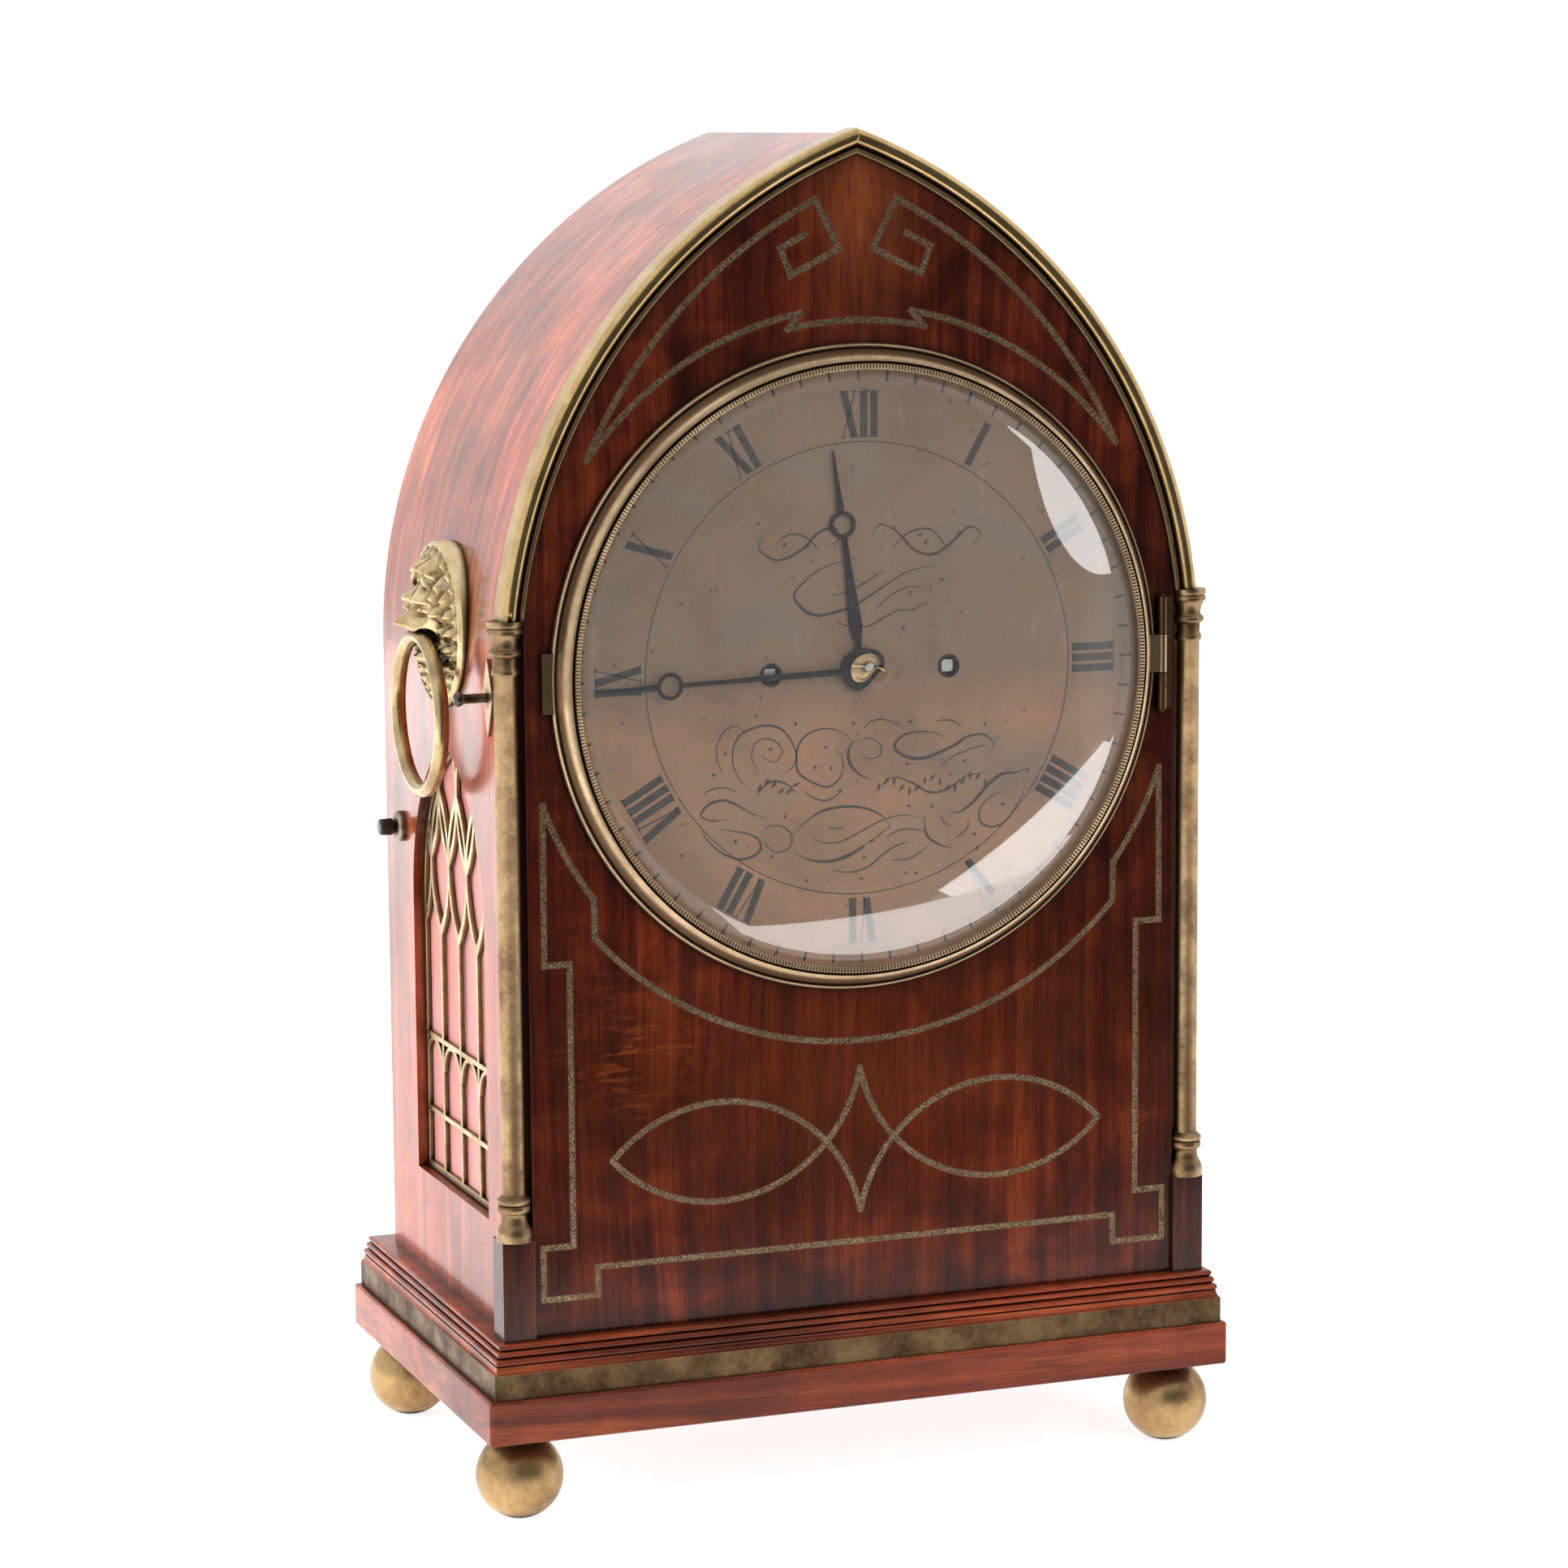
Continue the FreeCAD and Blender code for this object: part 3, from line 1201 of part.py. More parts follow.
def arbor_holes(front):
    """The holes that the arbors turn in, through one plate."""
    gap = s.run_gap
    deep = s.plate_thick
    holes = [disc(s.arbor_radius + gap, 0, s.dial_z, front, deep)]
    for sign in (-1, 1):
        holes.append(disc(s.winding_arbor + gap, sign * s.winding_x, s.winding_z, front, deep))
        holes.append(disc(s.winding_arbor + gap, sign * s.barrel_x, s.barrel_z, front, deep))
    holes.append(disc(1.2 + gap, 0, s.escape_z, front, deep))
    holes.append(disc(1.2 + gap, s.hammer_x, s.hammer_z, front, deep))
    return holes


def make_plates():
    """Two brass plates. The front one carries the minute wheel's stud, the back one the pendulum's cock."""
    front = s.face_y + s.front_plate_in
    back = s.face_y + s.back_plate_in
    top = s.plate_top
    deep = s.plate_thick
    plates = []
    for start in (front, back):
        plate = block(-s.plate_half, s.plate_half, start, start + deep, s.seat_top, top)
        plates.append(plate.cut(arbor_holes(start)[0]))
        for hole in arbor_holes(start)[1:]:
            plates[-1] = plates[-1].cut(hole)
    stud_front = s.face_y + 8
    stud = disc(1.2, 0, s.dial_z - s.motion_centres, stud_front, front - stud_front)
    pallet_hole = disc(1.2 + s.run_gap, 0, s.pallet_z, front, deep)
    solid("front_plate", joined(plates[0].cut(pallet_hole), stud))
    crutch_hole = disc(3.2, 0, s.pallet_z, back, deep)
    rear = back + deep
    cock = block(-15, 15, rear, s.face_y + s.pendulum_in + 5, s.pallet_z + 5, s.pallet_z + 11)
    foot = block(-15, 15, rear, rear + 3, s.pallet_z + 5, s.pallet_z + 19)
    bearing = block(-4, 4, rear, rear + 2.2, s.pallet_z - 4, s.pallet_z + 6)
    bearing = bearing.cut(disc(1.2 + s.run_gap, 0, s.pallet_z, rear, 3))
    solid("back_plate", joined(plates[1].cut(crutch_hole), cock, foot, bearing))


def make_pillars():
    spots = []
    for name, x, z in (
        ("low_left", "8 - plate_half", "seat_top + 8"),
        ("low_right", "plate_half - 8", "seat_top + 8"),
        ("high_left", "8 - plate_half", "plate_top - 8"),
        ("high_right", "plate_half - 8", "plate_top - 8"),
    ):
        length = "back_plate_in - front_plate_in - plate_thick"
        y = "face_y + front_plate_in + plate_thick"
        spots.append(cylinder("pillar_" + name, "pillar_radius", length, x, y, z, "y"))
    node("plate_pillars", group("pillars", *spots))


def make_barrels_and_fusees():
    """For each train, a spring barrel and the coned fusee that its line winds on, with its winding square."""
    front = s.face_y + s.front_plate_in
    back = s.face_y + s.back_plate_in + s.plate_thick
    inside = front + s.plate_thick
    for train, sign in (("strike", -1), ("going", 1)):
        x, z = sign * s.barrel_x, s.barrel_z
        drum = disc(s.barrel_radius, x, z, inside + 5, 30)
        rims = [disc(s.barrel_radius + 1.0, x, z, y, 1.5) for y in (inside + 5, inside + 33.5)]
        arbor = disc(s.winding_arbor, x, z, front - 1, back - front + 2)
        solid(f"{train}_barrel", joined(drum, *rims, arbor))
        x, z = sign * s.winding_x, s.winding_z
        grooves = 11
        start, end = inside + 7, inside + 33
        rise = (end - start) / grooves
        steps = [(0, start)]
        for turn in range(grooves):
            share = turn / (grooves - 1)
            radius = s.fusee_small + (s.fusee_large - s.fusee_small) * share
            steps += [(radius, start + turn * rise), (radius + 0.8, start + (turn + 0.45) * rise)]
            steps += [(radius, start + (turn + 0.9) * rise)]
        steps += [(s.great_wheel, end), (s.great_wheel, end + 2.4), (0, end + 2.4)]
        cone = revolved(steps, (x, z), "y")
        shoulder = s.face_y + 3
        arbor = disc(s.winding_arbor, x, z, shoulder, back + 1 - shoulder)
        half = s.winding_arbor * 0.68
        square = block(x - half, x + half, s.face_y - 0.4, shoulder, z - half, z + half)
        solid(f"{train}_fusee", joined(cone, arbor, square))


def toothed(teeth, pitch_radius, x, z, front, depth, turn=0.0):
    """A wheel with tapered teeth. turn sets where its first tooth points, in degrees from the X axis."""
    module = 2 * pitch_radius / teeth
    top, root = pitch_radius + 0.85 * module, pitch_radius - 1.15 * module
    pitch = 2 * math.pi / teeth
    slack = s.backlash / pitch_radius / 2
    points = []
    for count in range(int(teeth)):
        middle = math.radians(turn) + count * pitch
        for radius, half in ((root, 0.36), (pitch_radius, 0.25), (top, 0.12)):
            points.append((radius, middle - half * pitch + slack))
        for radius, half in ((top, 0.12), (pitch_radius, 0.25), (root, 0.36)):
            points.append((radius, middle + half * pitch - slack))
    steps = [(x + r * math.cos(a), z + r * math.sin(a)) for r, a in points]
    return extruded(steps, front, depth)


def make_motion_work():
    """Cannon pinion, minute wheel and hour wheel: twelve turns of one hand to one of the other."""
    centres = s.motion_centres
    cannon_pitch = centres * s.cannon_teeth / (s.cannon_teeth + s.minute_teeth)
    minute_pitch = centres - cannon_pitch
    pinion_pitch = centres * s.minute_pinion_teeth / (s.minute_pinion_teeth + s.hour_teeth)
    hour_pitch = centres - pinion_pitch
    z, stud_z = s.dial_z, s.dial_z - centres
    rear_row, front_row = s.face_y + 15.5, s.face_y + 11.5
    deep = 2.2
    gap = s.run_gap

    pinion = toothed(s.cannon_teeth, cannon_pitch, 0, z, rear_row, deep, -90)
    pipe_front = minute_hand_front + s.hand_thick
    pipe = disc(s.cannon_radius, 0, z, pipe_front, rear_row - pipe_front)
    arbor_front = minute_hand_front - 4.4
    pin = Part.makeCylinder(0.5, 13.0, Vector(-5.9, minute_hand_front - 3.3, z + 2.4), Vector(0.92, 0, -0.39))
    arbor = disc(s.arbor_radius, 0, z, arbor_front, s.face_y + s.back_plate_in + s.plate_thick + 1 - arbor_front)
    wheel_front = s.face_y + s.front_plate_in + s.plate_thick + 2
    wheel = disc(24.0, 0, z, wheel_front, 1.6)
    openings = [
        disc(6.4, 14.6 * math.cos(math.radians(angle)), z + 14.6 * math.sin(math.radians(angle)), wheel_front, 1.6)
        for angle in range(36, 396, 72)
    ]
    for opening in openings:
        wheel = wheel.cut(opening)
    solid("centre_arbor", joined(pinion, pipe, arbor, wheel, pin))

    half_tooth = 180.0 / s.minute_teeth
    large = toothed(s.minute_teeth, minute_pitch, 0, stud_z, rear_row, deep, 90 + half_tooth)
    small = toothed(s.minute_pinion_teeth, pinion_pitch, 0, stud_z, front_row, rear_row - front_row, 90)
    bore = disc(1.2 + gap, 0, stud_z, front_row - 1, 10)
    solid("minute_wheel", joined(large, small).cut(bore))

    half_tooth = 180.0 / s.hour_teeth
    wheel = toothed(s.hour_teeth, hour_pitch, 0, z, front_row, deep, -90 + half_tooth)
    pipe_end = hour_hand_front + s.hand_thick
    pipe = disc(s.hour_pipe, 0, z, pipe_end, front_row - pipe_end)
    bore = disc(s.cannon_radius + gap, 0, z, pipe_end - 1, 30)
    solid("hour_wheel", joined(wheel, pipe).cut(bore))


def make_escapement():
    """Escape wheel, and the pallets with the crutch that keeps the pendulum swinging."""
    y = s.face_y + s.back_plate_in - 12
    z, radius = s.escape_z, s.escape_radius
    teeth = int(s.escape_teeth)
    steps = []
    for count in range(teeth):
        angle = 2 * math.pi * count / teeth
        for out, shift in ((radius - 2.6, -0.42), (radius, 0.0), (radius - 2.6, 0.12)):
            turn = angle + shift * 2 * math.pi / teeth
            steps.append((out * math.cos(turn), z + out * math.sin(turn)))
    wheel = extruded(steps, y, 1.4)
    front = s.face_y + s.front_plate_in
    arbor = disc(1.2, 0, z, front, s.face_y + s.back_plate_in + s.plate_thick - front)
    solid("escape_wheel", joined(wheel, arbor))

    top = s.pallet_z
    clear = radius + s.pallet_gap
    reach = math.radians(48)
    outer = clear + 3.0
    arms = extruded(
        (
            (outer * math.sin(reach), z + outer * math.cos(reach)),
            ((0, z + outer + 1.5), (-outer * math.sin(reach), z + outer * math.cos(reach))),
            (-clear * math.sin(reach), z + clear * math.cos(reach)),
            ((0, z + clear), (clear * math.sin(reach), z + clear * math.cos(reach))),
        ),
        y, 1.4,
    )
    stem = block(-2, 2, y, y + 1.4, z + outer, top)
    rear = s.face_y + s.pendulum_in - 6
    arbor = disc(1.2, 0, top, front, rear - front)
    fork_z = top - 45
    crutch = block(-1.5, 1.5, rear - 1.2, rear, fork_z - 2, top + 2)
    gap = s.rod_radius + 0.3
    prongs = [
        block(left, left + 1, rear - 1.2, rear + 9, fork_z - 2, fork_z + 2)
        for left in (-gap - 1, gap)
    ]
    bridge = block(-gap - 1, gap + 1, rear - 1.2, rear, fork_z - 2, fork_z + 2)
    solid("pallets_and_crutch", joined(arms, stem, arbor, crutch, bridge, *prongs))


def make_pendulum():
    """A brass-cased bob on a steel rod, hung by a short spring from the cock."""
    y = s.face_y + s.pendulum_in
    top, z = s.pallet_z, s.bob_z
    spring = block(-1.2, 1.2, y - 0.25, y + 0.25, top - 8, top + 4.7)
    rod = Part.makeCylinder(s.rod_radius, top - 6 - (z - s.bob_radius - 10), Vector(0, y, z - s.bob_radius - 10))
    half = s.bob_thick / 2
    edge = 1.0
    bob = revolved(
        (
            (0, y - half), ((s.bob_radius * 0.55, y - half * 0.72), (s.bob_radius, y - edge)),
            (s.bob_radius, y + edge), ((s.bob_radius * 0.55, y + half * 0.72), (0, y + half)),
        ),
        (0, z), "y",
    )
    nut = Part.makeCylinder(4.0, 3.0, Vector(0, y, z - s.bob_radius - 6))
    solid("pendulum", joined(spring, rod, bob, nut))


def make_bell():
    """The bell, its stand on top of the plates, and the hammer that strikes it."""
    radius, height, wall = s.bell_radius, s.bell_height, s.bell_wall
    rim = s.bell_rim_z
    crown = rim + height
    y = s.face_y + s.bell_in
    post = 2.2
    inner = radius - wall
    steps = (
        (post + s.run_gap, crown),
        (8.0, crown),
        ((radius * 0.86, rim + height * 0.55), (radius, rim)),
        (inner, rim),
        ((inner * 0.86, rim + (height - wall) * 0.55), (8.0, crown - wall)),
        (post + s.run_gap, crown - wall),
    )
    node("bell", turned("bell", steps, "0", "face_y + bell_in"))
    foot_z = s.plate_top
    foot = block(-6, 6, s.face_y + s.front_plate_in, s.face_y + s.back_plate_in + s.plate_thick, foot_z, foot_z + 3)
    stem = Part.makeCylinder(post, crown + 6 - foot_z, Vector(0, y, foot_z))
    collar = Part.makeCylinder(5.0, 3.0, Vector(0, y, crown - wall - 3.0))
    nut = Part.makeCylinder(4.2, 3.0, Vector(0, y, crown))
    solid("bell_stand", joined(foot, stem, collar, nut))

    x, z = s.hammer_x, s.hammer_z
    front = s.face_y + s.front_plate_in
    back = s.face_y + s.back_plate_in + s.plate_thick
    arbor = disc(1.2, x, z, front, back - front)
    head_z = rim + 5
    near = radius + s.hammer_gap - 0.4
    arm = block(x - 1.2, x + 1.2, y - 1.2, y + 1.2, z, head_z + 1)
    head = Part.makeCylinder(4.0, x + 3 - near, Vector(near, y, head_z), Vector(1, 0, 0))
    solid("hammer", joined(arbor, arm, head))


make_base_board()
make_base_brass_band()
make_plinth_moulding()
make_ball_feet()
make_side_panels()
make_roof()
make_front_panel()
make_inlay()
make_arch_moulding()
make_corner_plinths()
make_columns()
make_dial_plate()
make_hands()
make_bezel()
make_frets()
make_lion_masks()
make_release()
make_repeat_pull()
make_back_frame()
make_rear_door()
make_seat_board()
make_plates()
make_pillars()
make_barrels_and_fusees()
make_motion_work()
make_escapement()
make_pendulum()
make_bell()
doc.recompute()

for thing in doc.Objects:
    if "Invalid" in thing.State or "Error" in thing.State:
        raise RuntimeError(f"{thing.Name} failed: {thing.State}")
for label, thing in NODES.items():
    if thing.Shape.isNull() or not thing.Shape.isValid() or not thing.Shape.Solids:
        raise RuntimeError(f"{label} has no sound solid")

os.makedirs("parts", exist_ok=True)
for label, thing in NODES.items():
    thing.Shape.exportStep(f"parts/{label}.step")
    edges = thing.Shape.BoundBox
    print(
        f"{label}: {len(thing.Shape.Solids)} solids, {thing.Shape.Volume:.0f} mm3,"
        f" x {edges.XMin:.1f} {edges.XMax:.1f} y {edges.YMin:.1f} {edges.YMax:.1f} z {edges.ZMin:.1f} {edges.ZMax:.1f}"
    )
print(len(NODES), "sub-parts")
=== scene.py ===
import json
import math
import random

import bmesh
import bpy
from mathutils import Matrix, Vector

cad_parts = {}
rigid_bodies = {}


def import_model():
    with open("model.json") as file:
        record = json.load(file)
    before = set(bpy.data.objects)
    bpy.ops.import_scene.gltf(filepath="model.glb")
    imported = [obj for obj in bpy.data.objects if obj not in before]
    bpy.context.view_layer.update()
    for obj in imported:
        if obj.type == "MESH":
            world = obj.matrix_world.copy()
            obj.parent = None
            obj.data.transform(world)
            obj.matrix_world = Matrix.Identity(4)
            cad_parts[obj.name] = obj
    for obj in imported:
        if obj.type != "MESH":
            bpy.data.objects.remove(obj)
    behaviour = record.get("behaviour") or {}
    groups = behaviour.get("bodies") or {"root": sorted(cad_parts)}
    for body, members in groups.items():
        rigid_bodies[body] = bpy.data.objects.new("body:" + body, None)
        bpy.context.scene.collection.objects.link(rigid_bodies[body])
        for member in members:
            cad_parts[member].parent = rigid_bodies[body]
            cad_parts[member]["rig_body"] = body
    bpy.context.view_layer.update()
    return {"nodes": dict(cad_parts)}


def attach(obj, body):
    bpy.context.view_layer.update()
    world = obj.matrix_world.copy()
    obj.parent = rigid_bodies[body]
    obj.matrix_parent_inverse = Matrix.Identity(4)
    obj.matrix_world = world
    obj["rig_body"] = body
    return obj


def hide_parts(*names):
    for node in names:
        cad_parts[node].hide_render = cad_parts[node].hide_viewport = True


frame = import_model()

# ---------------------------------------------------------------------------
# Base: a flat mahogany board with eased edges, a brass strip round it and a
# reeded mahogany moulding, glued and pinned up as one plinth for the case.
# Old French polish: orange-brown where it is rubbed, nearly black in the quirks.
# ---------------------------------------------------------------------------


def fit(tree, kind, feeds=None, **settings):
    """Puts a shader node in a tree; each feed is a socket to link from or a plain value."""
    part = tree.nodes.new("ShaderNode" + kind)
    for name, value in settings.items():
        setattr(part, name, value)
    for socket, value in (feeds or {}).items():
        if isinstance(value, bpy.types.NodeSocket):
            tree.links.new(value, part.inputs[socket])
        else:
            part.inputs[socket].default_value = value
    return part


def sums(tree, operation, first, second=0.0, third=0.0, clamp=False):
    return fit(tree, "Math", {0: first, 1: second, 2: third}, operation=operation, use_clamp=clamp).outputs[0]


def noise(tree, where, scale, detail=3.0, roughness=0.55, distortion=0.0):
    feeds = {"Vector": where, "Scale": scale, "Detail": detail}
    feeds.update({"Roughness": roughness, "Distortion": distortion})
    return fit(tree, "TexNoise", feeds).outputs["Fac"]


def stretched(tree, where, scale):
    return fit(tree, "Mapping", {"Vector": where, "Scale": scale}).outputs[0]


def ramp(tree, fac, *stops):
    """A colour ramp from (position, colour) stops; a plain number stands for a grey."""
    part = fit(tree, "ValToRGB", {"Fac": fac})
    band = part.color_ramp
    for number, (position, colour) in enumerate(stops):
        stop = band.elements[number] if number < 2 else band.elements.new(position)
        stop.position = position
        tone = (colour,) * 3 if isinstance(colour, (int, float)) else colour
        stop.color = (*tone, 1.0)
    return part.outputs["Color"]


def blended(tree, fac, first, second, kind="MIX"):
    def colour(value):
        return (*value, 1.0) if isinstance(value, tuple) else value

    feeds = {"Fac": fac, "Color1": colour(first), "Color2": colour(second)}
    return fit(tree, "MixRGB", feeds, blend_type=kind).outputs[0]


def finish_named(name):
    """An empty material with its output node, its Principled shader and the object's own coordinates."""
    material = bpy.data.materials.new(name)
    material.use_nodes = True
    tree = material.node_tree
    shader = tree.nodes["Principled BSDF"]
    place = fit(tree, "TexCoord").outputs["Object"]
    return material, tree, shader, place


def bumped(tree, shader, height, strength, distance):
    """Gives a finish a fine relief from a height."""
    bump = fit(tree, "Bump", {"Height": height, "Strength": strength, "Distance": distance}).outputs[0]
    tree.links.new(bump, shader.inputs["Normal"])


def group_named(name, takes, gives):
    """A node group with named sockets: takes holds (name, kind, default), gives (name, kind)."""
    tree = bpy.data.node_groups.new(name, "ShaderNodeTree")
    for label, kind, default in takes:
        socket = tree.interface.new_socket(label, in_out="INPUT", socket_type="NodeSocket" + kind)
        if default is not None:
            socket.default_value = default
    for label, kind in gives:
        tree.interface.new_socket(label, in_out="OUTPUT", socket_type="NodeSocket" + kind)
    return tree, tree.nodes.new("NodeGroupInput"), tree.nodes.new("NodeGroupOutput")


def use_group(tree, group, feeds):
    part = tree.nodes.new("ShaderNodeGroup")
    part.node_tree = group
    for socket, value in feeds.items():
        if isinstance(value, bpy.types.NodeSocket):
            tree.links.new(value, part.inputs[socket])
        else:
            part.inputs[socket].default_value = value
    return part


def figure_group():
    """Mahogany's figure, for wood whose grain runs along its third coordinate, in metres."""
    tree, takes, gives = group_named(
        "mahogany_figure",
        [("Wood", "Vector", None), ("Curl", "Float", 0.5)],
        [("Figure", "Float"), ("Pores", "Float"), ("Cloud", "Float")],
    )
    wood = takes.outputs["Wood"]
    sway = noise(tree, stretched(tree, wood, (9.0, 9.0, 3.0)), 1.0, 2.0)
    bent = fit(tree, "VectorMath", {0: wood, 1: (0.0, 0.0, 0.0)}, operation="ADD")
    shift = fit(tree, "CombineXYZ", {"X": sums(tree, "MULTIPLY", sums(tree, "SUBTRACT", sway, 0.5), 0.030)})
    tree.links.new(shift.outputs[0], bent.inputs[1])
    bands = noise(tree, stretched(tree, bent.outputs[0], (190.0, 60.0, 5.0)), 1.0, 5.0, 0.6)
    curl = noise(tree, stretched(tree, wood, (38.0, 38.0, 46.0)), 1.0, 4.0, 0.5, 0.8)
    curled = sums(tree, "MULTIPLY", sums(tree, "SUBTRACT", curl, 0.5), takes.outputs["Curl"])
    tree.links.new(sums(tree, "ADD", bands, curled, clamp=True), gives.inputs["Figure"])
    pores = noise(tree, stretched(tree, bent.outputs[0], (2600.0, 1500.0, 70.0)), 1.0, 2.0, 0.7)
    tree.links.new(pores, gives.inputs["Pores"])
    tree.links.new(noise(tree, stretched(tree, wood, (13.0, 13.0, 9.0)), 1.0, 3.0), gives.inputs["Cloud"])
    return tree


def wear_group():
    """Edges rubbed pale and corners full of old polish, from the shape alone. Rub and Dirt are masks."""
    tree, takes, gives = group_named(
        "worn_edges",
        [("Radius", "Float", 0.0008), ("Reach", "Float", 0.006)],
        [("Rub", "Float"), ("Dirt", "Float")],
    )
    eased = fit(tree, "Bevel", {"Radius": takes.outputs["Radius"]}, samples=6).outputs[0]
    true = fit(tree, "NewGeometry").outputs["True Normal"]
    match = fit(tree, "VectorMath", {0: eased, 1: true}, operation="DOT_PRODUCT").outputs["Value"]
    bend = sums(tree, "MULTIPLY", sums(tree, "SUBTRACT", 1.0, match), 5.0, clamp=True)
    hollow = fit(tree, "AmbientOcclusion", {"Distance": takes.outputs["Reach"]}, samples=6)
    shade = sums(tree, "SUBTRACT", 1.0, hollow.outputs["AO"], clamp=True)
    exposed = sums(tree, "SUBTRACT", 1.0, sums(tree, "MULTIPLY", shade, 3.0), clamp=True)
    rub = sums(tree, "MULTIPLY", bend, exposed)
    tree.links.new(rub, gives.inputs["Rub"])
    tree.links.new(shade, gives.inputs["Dirt"])
    return tree


mahogany_figure = figure_group()
worn_edges = wear_group()


def mahogany(name, along, dark, middle, light, curl=0.5, tint_and_painted_light=None, polish=(0.45, 1.5)):
    """Polished mahogany. along turns the object's coordinates into (across, through, along the grain).

    polish holds the weight and the index of its coat.
    """
    material, tree, shader, place = finish_named(name)
    wood = along(tree, place)
    figure = use_group(tree, mahogany_figure, {"Wood": wood, "Curl": curl})
    tone = ramp(tree, figure.outputs["Figure"], (0.30, dark), (0.72, light), (0.52, middle))
    cloud = ramp(tree, figure.outputs["Cloud"], (0.34, 0.48), (0.66, 1.45))
    tone = blended(tree, 1.0, tone, cloud, "MULTIPLY")
    # The tint may add painted light and shade as well as patches of colour.
    if tint_and_painted_light:
        tone = tint_and_painted_light(tree, place, tone)
    pores = ramp(tree, figure.outputs["Pores"], (0.34, 0.45), (0.52, 1.0))
    tone = blended(tree, 0.8, tone, pores, "MULTIPLY")
    wear = use_group(tree, worn_edges, {"Radius": 0.0007, "Reach": 0.008})
    dirt = sums(tree, "MULTIPLY", wear.outputs["Dirt"], 1.5, clamp=True)
    tone = blended(tree, dirt, tone, (0.014, 0.005, 0.004))
    tone = blended(tree, sums(tree, "MULTIPLY", wear.outputs["Rub"], 0.45), tone, (0.34, 0.11, 0.045))
    tree.links.new(tone, shader.inputs["Base Color"])
    smear = noise(tree, stretched(tree, place, (30.0, 30.0, 30.0)), 1.0, 4.0)
    tree.links.new(ramp(tree, smear, (0.3, 0.20), (0.7, 0.36)), shader.inputs["Roughness"])
    height = sums(tree, "ADD", sums(tree, "MULTIPLY", figure.outputs["Pores"], 0.5), figure.outputs["Figure"])
    bumped(tree, shader, height, 0.06, 0.0004)
    shader.inputs["Coat Weight"].default_value = polish[0]
    shader.inputs["Coat IOR"].default_value = polish[1]
    shader.inputs["Coat Roughness"].default_value = 0.12
    shader.inputs["Specular IOR Level"].default_value = 0.2
    return material


def turned_grain(across, through, along):
    """Grain along one axis of the clock: each letter names the axis that the coordinate is read from."""

    def pick(tree, place):
        parts = fit(tree, "SeparateXYZ", {0: place}).outputs
        chosen = {"X": parts[across], "Y": parts[through], "Z": parts[along]}
        return fit(tree, "CombineXYZ", chosen).outputs[0]

    return pick


# Flat faces from this area up, in square metres, are shaded flat.
FLAT_FROM = 0.0004


def carried(node, material, angle=35.0, bevel=0.0):
    """A CAD node as a finished piece: its triangles joined up, smooth up to an angle, its flats kept flat."""
    source = frame["nodes"][node]
    body = source["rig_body"]
    mesh = bmesh.new()
    mesh.from_mesh(source.data)
    bmesh.ops.remove_doubles(mesh, verts=mesh.verts, dist=1e-6)
    bmesh.ops.dissolve_limit(mesh, angle_limit=0.002, verts=mesh.verts, edges=mesh.edges)
    data = bpy.data.meshes.new(node + "_made")
    mesh.to_mesh(data)
    mesh.free()
    data.shade_smooth()
    data.set_sharp_from_angle(angle=math.radians(angle))
    for face in data.polygons:
        if len(face.vertices) > 6 and face.area > FLAT_FROM:
            face.use_smooth = False
    piece = bpy.data.objects.new(node + "_made", data)
    bpy.context.scene.collection.objects.link(piece)
    if bevel:
        edge = piece.modifiers.new("eased", "BEVEL")
        edge.width = bevel
        edge.segments = 2
        edge.limit_method = "ANGLE"
        edge.angle_limit = math.radians(40)
        edge.harden_normals = True
    data.materials.append(material)
    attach(piece, body)
    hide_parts(node)
    return piece


base_wood = mahogany(
    "base_mahogany", turned_grain("Z", "Y", "X"),
    (0.130, 0.018, 0.007), (0.320, 0.052, 0.016), (0.560, 0.120, 0.036), 0.25, None, (0.25, 1.5),
)
carried("base_board", base_wood)
carried("plinth_moulding", base_wood)

# ---------------------------------------------------------------------------
# Brass on the case: a strip let in round the plinth and four cast ball feet,
# old lacquer gone and the metal rubbed bright only where it is dusted.
# ---------------------------------------------------------------------------


def patina_group():
    """Tarnish in clouds and spots, and fine rubbing marks. Tarnish is a mask, Marks a height."""
    tree, takes, gives = group_named(
        "old_brass_patina",
        [("Place", "Vector", None), ("Spots", "Float", 90.0)],
        [("Tarnish", "Float"), ("Marks", "Float")],
    )
    place = takes.outputs["Place"]
    cloud = noise(tree, place, takes.outputs["Spots"], 6.0, 0.62)
    speck = noise(tree, place, sums(tree, "MULTIPLY", takes.outputs["Spots"], 9.0), 3.0, 0.7)
    mixed = sums(tree, "ADD", sums(tree, "MULTIPLY", cloud, 0.75), sums(tree, "MULTIPLY", speck, 0.25))
    tree.links.new(ramp(tree, mixed, (0.40, 0.0), (0.62, 1.0)), gives.inputs["Tarnish"])
    marks = noise(tree, stretched(tree, place, (1800.0, 1800.0, 240.0)), 1.0, 2.0, 0.6)
    tree.links.new(marks, gives.inputs["Marks"])
    return tree


old_patina = patina_group()


